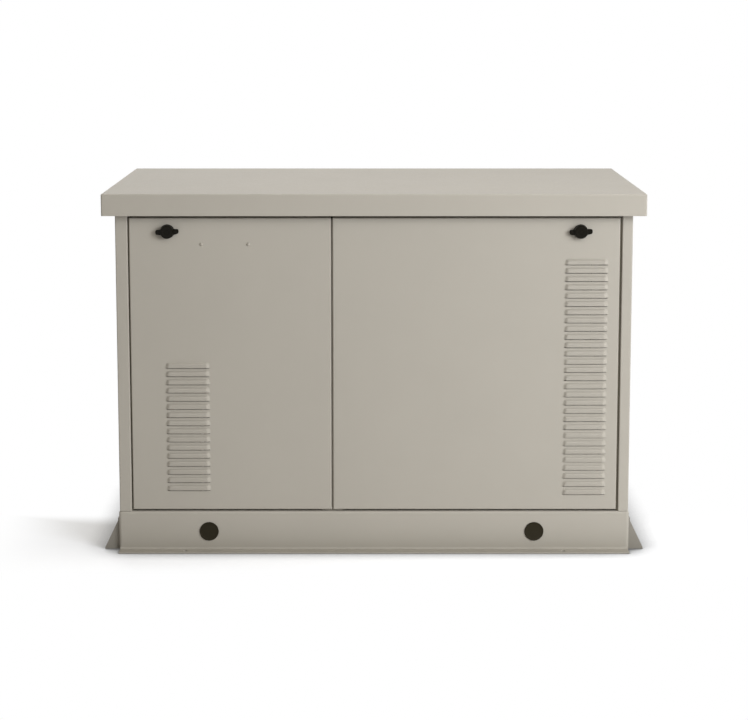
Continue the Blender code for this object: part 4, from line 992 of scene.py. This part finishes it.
def make_seals():
    """Foam strips on top of the doors, down the seams beside the doors and rear panel, and at their feet;
    their dark brown is painted shade for those gaps.
    """
    face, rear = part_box("end_panel_left")[0].y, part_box("end_panel_left")[1].y
    left_low, left_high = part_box("front_panel_left")
    right_low, right_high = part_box("front_panel_right")
    rear_low, rear_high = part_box("rear_panel")
    left_post, right_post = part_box("end_panel_left")[1].x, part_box("end_panel_right")[0].x
    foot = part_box("base_pan")[1].z
    top = left_high.z
    for side, low_x, high_x in (
        ("left", left_low.x + 0.002, left_high.x - 0.001),
        ("right", right_low.x + 0.001, right_high.x - 0.002),
    ):
        low, high = (low_x, face + 0.0052, top - 0.0002), (high_x, face + 0.0140, top + SEAL_HEIGHT)
        rounded_block(f"{side}_door_top_shade_seal", low, high, 0.0012, SHADE_SEAL, f"{side}_panel", steps=2)
    front_y, front_top = face + 0.0045, top + 0.0005
    rear_y, rear_top = rear - 0.0095, rear_high.z - 0.001
    for name, low_x, high_x, y, height in (
        ("left", left_post + 0.0003, left_low.x - 0.0005, front_y, front_top),
        ("right", right_high.x + 0.0005, right_post - 0.0003, front_y, front_top),
        ("rear_left", left_post + 0.0002, rear_low.x - 0.0002, rear_y, rear_top),
        ("rear_right", rear_high.x + 0.0002, right_post - 0.0002, rear_y, rear_top),
    ):
        low, high = (low_x, y, foot + 0.0005), (high_x, y + 0.0050, height)
        rounded_block(f"{name}_seam_shade_seal", low, high, 0.0003, SEAM_SHADE_SEAL, steps=1)
    end = -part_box("end_panel_left")[0].x - 0.0060 - SHEET
    for name, low_x, high_x, low_y, high_y in (
        ("left", -end, -end + 0.0045, face + 0.019, rear - 0.019),
        ("right", end - 0.0045, end, face + 0.019, rear - 0.019),
        ("rear", rear_low.x + 0.004, rear_high.x - 0.004, rear - SHEET - 0.0047, rear - SHEET),
    ):
        low, high = (low_x, low_y, foot + 0.0001), (high_x, high_y, foot + 0.0085)
        rounded_block(f"{name}_foot_seal", low, high, 0.0010, SEAM_SHADE_SEAL, steps=2)


make_roof()
make_base()
make_door_stops()
make_seals()
make_front_panel("left", LEFT_LOUVRES)
make_front_panel("right", RIGHT_LOUVRES)
for panel_side, panel_sign in SIDES:
    make_end_panel(panel_side, panel_sign)
    make_latch(panel_side)
    softened(f"foot_bracket_{panel_side}", SHADED_FOOT_PAINT, 0.0007)
make_rear_panel()
make_rivets()
make_hinges()
make_panel_screws()

# ---------------------------------------------------------------- frame and machine
for finish, width, names in (
    (PAINT, 0.0004, ("front_top_rail", "bulkhead")),
    (FOAM, 0.0015, ("roof_insulation",)),
    (ENAMEL, 0.0015, ("engine_cradle",)),
    (RUBBER, 0.001, tuple("isolator_" + place for place in CORNERS)),
    (CAST, 0.003, ("crankcase",)),
    (CAST, 0.0006, ("cylinder_front", "cylinder_rear")),
    (CAST, 0.002, ("cylinder_head_front", "cylinder_head_rear")),
    (CAST, 0.001, ("intake_manifold",)),
    (BLACK, 0.001, ("air_cleaner_base",)),
    (BLACK, 0.002, ("air_cleaner_cover",)),
    (ENAMEL, 0.001, ("blower_housing",)),
    (ZINC, 0.001, ("crankshaft",)),
    (CAST, 0.0006, ("flywheel_fan",)),
    (ZINC, 0.0008, ("alternator_rotor",)),
    (CAST, 0.002, ("alternator_housing",)),
    (EXHAUST, 0.002, ("muffler",)),
    (EXHAUST, 0.0, ("exhaust_pipe_front", "exhaust_pipe_rear")),
    (BLACK, 0.002, ("controller_box",)),
    (GREY, 0.0006, ("controller_button_1", "controller_button_2", "controller_button_3")),
    (ENAMEL, 0.002, ("circuit_breaker",)),
    (BLACK, 0.001, ("breaker_toggle",)),
    (BLACK, 0.002, ("battery",)),
    (CAST, 0.0015, ("fuel_regulator",)),
    (RUBBER, 0.0, ("fuel_hose",)),
):
    for plain in names:
        softened(plain, finish, width)


# ---------------------------------------------------------------- details of the machine
def wire_ring(name, centre, direction, radius, wire, material=ZINC):
    """A round wire bent into a ring."""
    turn = np.linspace(0, math.tau, 11)
    profile = np.column_stack([radius + wire * np.cos(turn), wire * np.sin(turn)])
    turned(name, profile, centre, direction, material, sides=56, smooth=60)


def screws_round(name, centre, direction, radius, count, head, start=0.0):
    """Screws spaced evenly on a circle across a direction."""
    first, second = axes_for(direction)[1:]
    for number in range(count):
        angle = start + math.tau * number / count
        place = np.asarray(centre) + radius * (math.cos(angle) * first + math.sin(angle) * second)
        screw_head(f"{name}_{number + 1}", place, direction, head)


def drum(name, start, end, radius, material, edge=0.003):
    """A round can between two points, with its end edges turned over."""
    start, end = np.asarray(start, float), np.asarray(end, float)
    length = float(np.linalg.norm(end - start))
    turn = np.linspace(0, math.pi / 2, 5)
    low = [(radius - edge + edge * math.sin(t), edge - edge * math.cos(t)) for t in turn]
    high = [(r, length - at) for r, at in low[::-1]]
    turned(name, [(0, 0), *low, *high, (0, length)], start, end - start, material)


def make_head_details(side, sign, axis_z, case_end):
    """A rocker cover with its screws, and the plug boot and lead, in the slanted frame of a cylinder."""
    head_low, head_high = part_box(f"cylinder_head_{side}")
    middle_x = (head_low.x + head_high.x) / 2
    turn = Matrix.Translation((middle_x, 0, axis_z)) @ Matrix.Rotation(sign * math.pi / 4, 4, "X")
    way = turn.to_3x3() @ Vector((0, 0, 1))
    low, high = (-0.041, -0.045, 0.2322), (0.041, 0.045, 0.2480)
    rounded_block(f"rocker_cover_{side}", low, high, 0.007, ENAMEL, turn=turn)
    for number, (a, b) in enumerate(((-1, -1), (1, -1), (1, 1), (-1, 1))):
        place = turn @ Vector((a * 0.030, b * 0.034, high[2] - 0.0002))
        screw_head(f"rocker_screw_{side}_{number + 1}", place, way, 0.0048)
    root = turn @ Vector((-0.02, -sign * 0.0542, 0.2036))
    tip = turn @ Vector((-0.02, -sign * 0.0900, 0.2036))
    drum(f"plug_boot_{side}", root, tip, 0.0088, RUBBER)
    out = (tip - root).normalized()
    bend = tip + out * 0.022
    lead = [tip - out * 0.004, bend, (0.232, bend.y, 0.338), (0.282, bend.y * 0.78, 0.328)]
    lead.append((case_end + 0.004, -sign * 0.112, 0.330))
    hose(f"plug_lead_{side}", lead, 0.0036, RUBBER, sides=12)


def make_engine_details():
    """Both heads' details, and the oil filter, dipstick and starter on the crankcase's flanks."""
    axis_z = joints["crank_spin"]["pos_m"][2]
    case_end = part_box("crankcase")[1].x
    for side, sign in (("front", 1), ("rear", -1)):
        make_head_details(side, sign, axis_z, case_end)
    flank, filter_x, filter_z = -0.1090, 0.172, 0.236
    root, tip = (filter_x, flank, filter_z), (filter_x, flank - 0.066, filter_z)
    drum("oil_filter", root, tip, 0.036, PAPER, edge=0.006)
    for number, reach in enumerate((0.006, 0.060)):
        place = (filter_x, flank - reach, filter_z)
        wire_ring(f"oil_filter_bead_{number + 1}", place, (0, 1, 0), 0.0360, 0.0012, PAPER)
    stick_x = 0.278
    stick = [(flank + 0.004, 0.196), (-0.128, 0.214), (-0.140, 0.262), (-0.142, 0.312)]
    hose("dipstick_tube", [(stick_x, y, z) for y, z in stick], 0.0052, ZINC, sides=14)
    low, high = (stick_x - 0.010, -0.146, 0.311), (stick_x + 0.010, -0.138, 0.334)
    rounded_block("dipstick_handle", low, high, 0.0035, YELLOW)
    motor_y, motor_z = 0.1440, 0.226
    drum("starter_motor", (0.176, motor_y, motor_z), (0.3020, motor_y, motor_z), 0.033, ENAMEL)
    drum("starter_solenoid", (0.196, 0.1360, 0.276), (0.262, 0.1360, 0.276), 0.017, ZINC)
    for number, x in enumerate((0.192, 0.286)):
        wire_ring(f"starter_band_{number + 1}", (x, motor_y, motor_z), (1, 0, 0), 0.0330, 0.0014)


def make_blower_and_alternator_details():
    """A wire guard over the fan's intake, the stator's sheets, and the screws of both housings."""
    axis_z = joints["crank_spin"]["pos_m"][2]
    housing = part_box("blower_housing")[1].x
    face = housing + 0.0012
    for number, radius in enumerate((0.018, 0.034, 0.050, 0.066, 0.082, 0.090)):
        wire_ring(f"fan_guard_ring_{number + 1}", (face + 0.0010, 0, axis_z), (1, 0, 0), radius, 0.0011)
    for number in range(8):
        angle = math.tau * number / 8
        cos, sin = math.cos(angle), math.sin(angle)
        run = [(face, r * cos, axis_z + r * sin) for r in (0.016, 0.054, 0.091)]
        hose(f"fan_guard_spoke_{number + 1}", run, 0.0013, ZINC, sides=8)
    screws_round("fan_guard_screw", (housing, 0, axis_z), (1, 0, 0), 0.0965, 4, 0.0046, math.pi / 4)
    low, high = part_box("alternator_housing")
    radius = high.z - axis_z
    steps = np.arange(0.0, 0.0861, 0.0020)
    profile = [(radius + (0.0010 if number % 2 else 0.0002), step) for number, step in enumerate(steps)]
    profile = [(radius - 0.004, 0.0), *profile, (radius - 0.004, steps[-1])]
    turned("stator_sheets", profile, (low.x + 0.052, 0, axis_z), (1, 0, 0), DARK_ZINC, sides=64, smooth=20)
    screws_round("alternator_screw", (low.x, 0, axis_z), (-1, 0, 0), radius - 0.010, 8, 0.0048, 0.2)


def make_muffler_details():
    """Rolled seams round the muffler's can, at its ends and its baffles."""
    x, z, radius = 0.492, 0.345, 0.053
    for number, y in enumerate((-0.1965, -0.0670, 0.0670, 0.1965)):
        wire_ring(f"muffler_seam_{number + 1}", (x, y, z), (0, 1, 0), radius, 0.0022, EXHAUST)


def make_control_details():
    """Screen and lamps of the controller's sloping face, the breaker's screws, and its conduit."""
    up = Vector((0, 0.7761, 0.6306))
    out = Vector((0, -0.6306, 0.7761))
    turn = Matrix((Vector((1, 0, 0)), up, out)).transposed().to_4x4()
    turn.translation = (-0.262, -0.160, 0.7125)
    for name, half_x, half_y, low, high, edge, material, steps in (
        ("controller_bezel", 0.052, 0.026, -0.0010, 0.0030, 0.0014, ENAMEL, 3),
        ("controller_screen", 0.043, 0.017, 0.0010, 0.0034, 0.0006, SCREEN, 2),
    ):
        rounded_block(
            name, (-half_x, -half_y, low), (half_x, half_y, high), edge, material,
            turn=turn, steps=steps,
        )
    radius = 0.0034
    dome = [(radius * math.cos(t), 0.0006 + 0.0030 * math.sin(t)) for t in np.linspace(0, math.pi / 2, 7)]
    profile = [(0, 0), (radius, 0), *dome]
    for number, lens in enumerate((LAMP_GREEN, RED_JACKET, GREY)):
        place = turn @ Vector((0.068, 0.018 - 0.018 * number, -0.0006))
        turned(f"status_lamp_{number + 1}", profile, place, out, lens, sides=24)
    low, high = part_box("circuit_breaker")
    left, right = low.x + 0.012, high.x - 0.012
    bottom, top = low.z + 0.012, high.z - 0.012
    for number, (x, z) in enumerate(((left, bottom), (right, bottom), (right, top), (left, top))):
        screw_head(f"breaker_screw_{number + 1}", (x, low.y, z), (0, -1, 0), 0.0040)
    route = [(-0.150, -0.140, low.z + 0.002), (-0.150, -0.142, 0.405), (-0.132, -0.132, 0.362)]
    route += [(-0.094, -0.114, 0.346), (-0.062, -0.104, 0.344), (-0.036, -0.093, 0.344)]
    hose("power_conduit", route, 0.0105, RUBBER, sides=20, ribs=0.12)
    wire_ring("conduit_grommet", (-0.0930, -0.1136, 0.3462), (0.94, 0.34, 0.0), 0.0118, 0.0030, RUBBER)


def make_battery_details():
    """Lid, strap with its rods, terminal clamps and cables, and the regulator's screws and cap."""
    low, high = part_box("battery")
    top, over = 0.2653, 0.0008
    lid_low = (low.x - over, low.y - over, top - 0.030)
    rounded_block("battery_lid", lid_low, (high.x + over, high.y + over, top + 0.0012), 0.003, BLACK)
    middle, strap_half, strap_top = (low.x + high.x) / 2, 0.009, top + 0.0042
    strap_low = (middle - strap_half, low.y - 0.014, top + 0.0012)
    strap_high = (middle + strap_half, high.y + 0.014, strap_top)
    rounded_block("battery_strap", strap_low, strap_high, 0.0012, ZINC, steps=2)
    for name, y in (("front", low.y - 0.008), ("rear", high.y + 0.008)):
        drum(f"battery_rod_{name}", (middle, y, low.z), (middle, y, top + 0.012), 0.0030, ZINC, edge=0.0008)
        screw_head(f"battery_nut_{name}", (middle, y, strap_top), (0, 0, 1), 0.0062)
    for name, x, jacket, clamp, lift in (
        ("red", -0.475, RED_JACKET, RED_JACKET, 0.345),
        ("black", -0.325, RUBBER, BRASS, 0.300),
    ):
        clamp_low, clamp_high = (x - 0.0125, -0.1270, 0.2685), (x + 0.0125, -0.0880, 0.2795)
        rounded_block(f"battery_clamp_{name}", clamp_low, clamp_high, 0.003, clamp)
        route = [(x, -0.125, 0.274), (x, -0.150, 0.280), (x + 0.045, -0.168, lift - 0.012)]
        route += [(-0.250, -0.170, lift), (-0.160, -0.160, lift - 0.010), (-0.0935, -0.150, lift - 0.020)]
        hose(f"battery_cable_{name}", route, 0.0058, jacket, sides=14)
        grommet = (-0.0945, -0.150, lift - 0.020)
        wire_ring(f"cable_grommet_{name}", grommet, (1, 0, 0), 0.0074, 0.0022, RUBBER)
    regulator_x, regulator_z = -0.230, 0.250
    screws_round("regulator_screw", (regulator_x, 0.100, regulator_z), (0, -1, 0), 0.0475, 6, 0.0040)
    cap_root, cap_tip = (regulator_x, 0.1005, regulator_z), (regulator_x, 0.088, regulator_z)
    drum("regulator_cap", cap_root, cap_tip, 0.017, BRASS)


def make_fasteners():
    """Bolts through the cradle into its isolators, and the washers that hold the roof's foam."""
    cradle_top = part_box("engine_cradle")[1].z
    for name in CORNERS:
        low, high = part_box(f"isolator_{name}")
        place = ((low.x + high.x) / 2, (low.y + high.y) / 2, cradle_top)
        screw_head(f"cradle_bolt_{name}", place, (0, 0, 1), 0.0085)
    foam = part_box("roof_insulation")[0].z
    washer = [(0, 0.0008), (0.005, 0.0010), (0.011, 0.0022), (0.0125, 0.0), (0, 0)]
    for row, y in enumerate((-0.19, 0.0, 0.19)):
        for column, x in enumerate((-0.45, -0.15, 0.15, 0.45)):
            name = f"foam_washer_{row}_{column}"
            turned(name, washer, (x, y, foam), (0, 0, -1), ZINC, "roof", sides=28, smooth=50)


make_engine_details()
make_blower_and_alternator_details()
make_muffler_details()
make_control_details()
make_battery_details()
make_fasteners()


# ---------------------------------------------------------------- floor, lamps and camera
def seen_plainly(tree):
    """1 for what the camera, gloss and glass see, and 0 for the light that falls on other pieces."""
    path = node(tree, "LightPath").outputs
    seen = calc(tree, "MAXIMUM", path["Is Camera Ray"], path["Is Glossy Ray"])
    return calc(tree, "MAXIMUM", seen, path["Is Transmission Ray"])


def blank_tree(owner):
    """The node tree of a material or a world, with nothing in it."""
    owner.use_nodes = True
    owner.node_tree.nodes.clear()
    return owner.node_tree


def make_world():
    """Soft light from all round, and plain white to the camera."""
    world = bpy.data.worlds.new("studio")
    bpy.context.scene.world = world
    tree = blank_tree(world)
    ambient = node(tree, "Background", {"Color": WORLD_COLOUR, "Strength": WORLD_STRENGTH})
    white = node(tree, "Background", {"Color": (1, 1, 1, 1), "Strength": 1.0})
    both = node(tree, "MixShader", {0: seen_plainly(tree), 1: ambient.outputs[0], 2: white.outputs[0]})
    node(tree, "OutputWorld", {"Surface": both.outputs[0]})


def make_floor():
    """A pale floor that is white to the camera where it is lit, and keeps the object's soft shadow.

    The shadow shows within reach of the object, and thins out to plain white with the distance.
    Under the object and close beside it, where little of the floor is open, a painted contact shadow darkens
    it further.
    """
    material = bpy.data.materials.new("pale_floor")
    tree = blank_tree(material)
    place = node(tree, "TexCoord").outputs["Object"]
    beyond = vector_calc(tree, "SUBTRACT", vector_calc(tree, "ABSOLUTE", place), SHADOW_HALF)
    away = vector_calc(tree, "LENGTH", vector_calc(tree, "MAXIMUM", beyond, (0, 0, 0)), output="Value")
    fade = remap(tree, away, 0.02, SHADOW_REACH, kind="SMOOTHSTEP")
    depth = node(tree, "SeparateXYZ", {0: place}).outputs["Y"]
    aside = calc(tree, "ABSOLUTE", calc(tree, "SUBTRACT", depth, SHADOW_MIDDLE))
    fade = calc(tree, "MAXIMUM", fade, remap(tree, aside, 0.14, 0.26, kind="SMOOTHSTEP"))
    plain = node(tree, "BsdfDiffuse", {"Color": FLOOR_COLOUR})
    shown = node(tree, "BsdfDiffuse", {"Color": (FLOOR_GAIN, FLOOR_GAIN, FLOOR_GAIN, 1)})
    lift = node(tree, "Emission", {"Color": (1, 1, 1, 1), "Strength": FLOOR_LIFT})
    bright = node(tree, "AddShader", {0: shown.outputs[0], 1: lift.outputs[0]})
    white = node(tree, "Emission", {"Color": (1, 1, 1, 1), "Strength": 1.0})
    shadow = node(tree, "Emission", {"Color": CONTACT_COLOUR, "Strength": 1.0})
    near = node(tree, "MixShader", {0: fade, 1: bright.outputs[0], 2: white.outputs[0]})
    open_share = node(tree, "AmbientOcclusion", {"Distance": CONTACT_REACH}, samples=12).outputs["AO"]
    touch = remap(tree, open_share, 0.97, 0.5, 0.0, CONTACT_DARK)
    near = node(tree, "MixShader", {0: touch, 1: near.outputs[0], 2: shadow.outputs[0]})
    both = node(tree, "MixShader", {0: seen_plainly(tree), 1: plain.outputs[0], 2: near.outputs[0]})
    node(tree, "OutputMaterial", {"Surface": both.outputs[0]})
    ways = ((-1, -1), (1, -1), (1, 1), (-1, 1))
    corners = [(a * FLOOR_REACH, b * FLOOR_REACH, -FLOOR_DROP) for a, b in ways]
    mesh = bpy.data.meshes.new("floor")
    mesh.from_pydata(corners, [], [(0, 1, 2, 3)])
    mesh.materials.append(material)
    placed("floor", mesh)


def add_lamp(name, place, target, size, power, colour=(1, 1, 1), in_gloss=False):
    """A round soft lamp aimed at a point. Most stay out of the gloss, so that the paint isn't burnt out."""
    lamp = bpy.data.lights.new(name, "AREA")
    lamp.shape = "DISK"
    lamp.size = size
    lamp.energy = power
    lamp.color = colour
    obj = placed(name, lamp)
    obj.visible_glossy = in_gloss
    obj.location = place
    obj.rotation_euler = (Vector(target) - Vector(place)).to_track_quat("-Z", "Y").to_euler()


make_world()
make_floor()
add_lamp("key", (2.2, -2.6, 1.45), (0.2, -0.3, 0.45), 2.0, 91, (0.956, 1.0, 1.075))
add_lamp("front_top", (0.3, -3.4, 3.2), (0, -0.3, 0.4), 2.0, 19)
add_lamp("overhead", (0.75, -0.3, 3.6), (0, 0, 0.4), 1.0, 26, in_gloss=True)
add_lamp("rear", (-1.0, 4.0, 2.4), (0, 0.2, 0.4), 2.6, 72)

camera = bpy.data.cameras.new("camera")
camera.lens = CAMERA_LENS
camera.sensor_width = 36
camera.shift_y = CAMERA_SHIFT
camera.clip_end = 100
camera_object = placed("camera", camera)
camera_object.location = CAMERA_PLACE
camera_object.rotation_euler = (math.pi / 2 - CAMERA_PITCH, 0, 0)
bpy.context.scene.camera = camera_object
bpy.context.scene.view_settings.view_transform = "Standard"
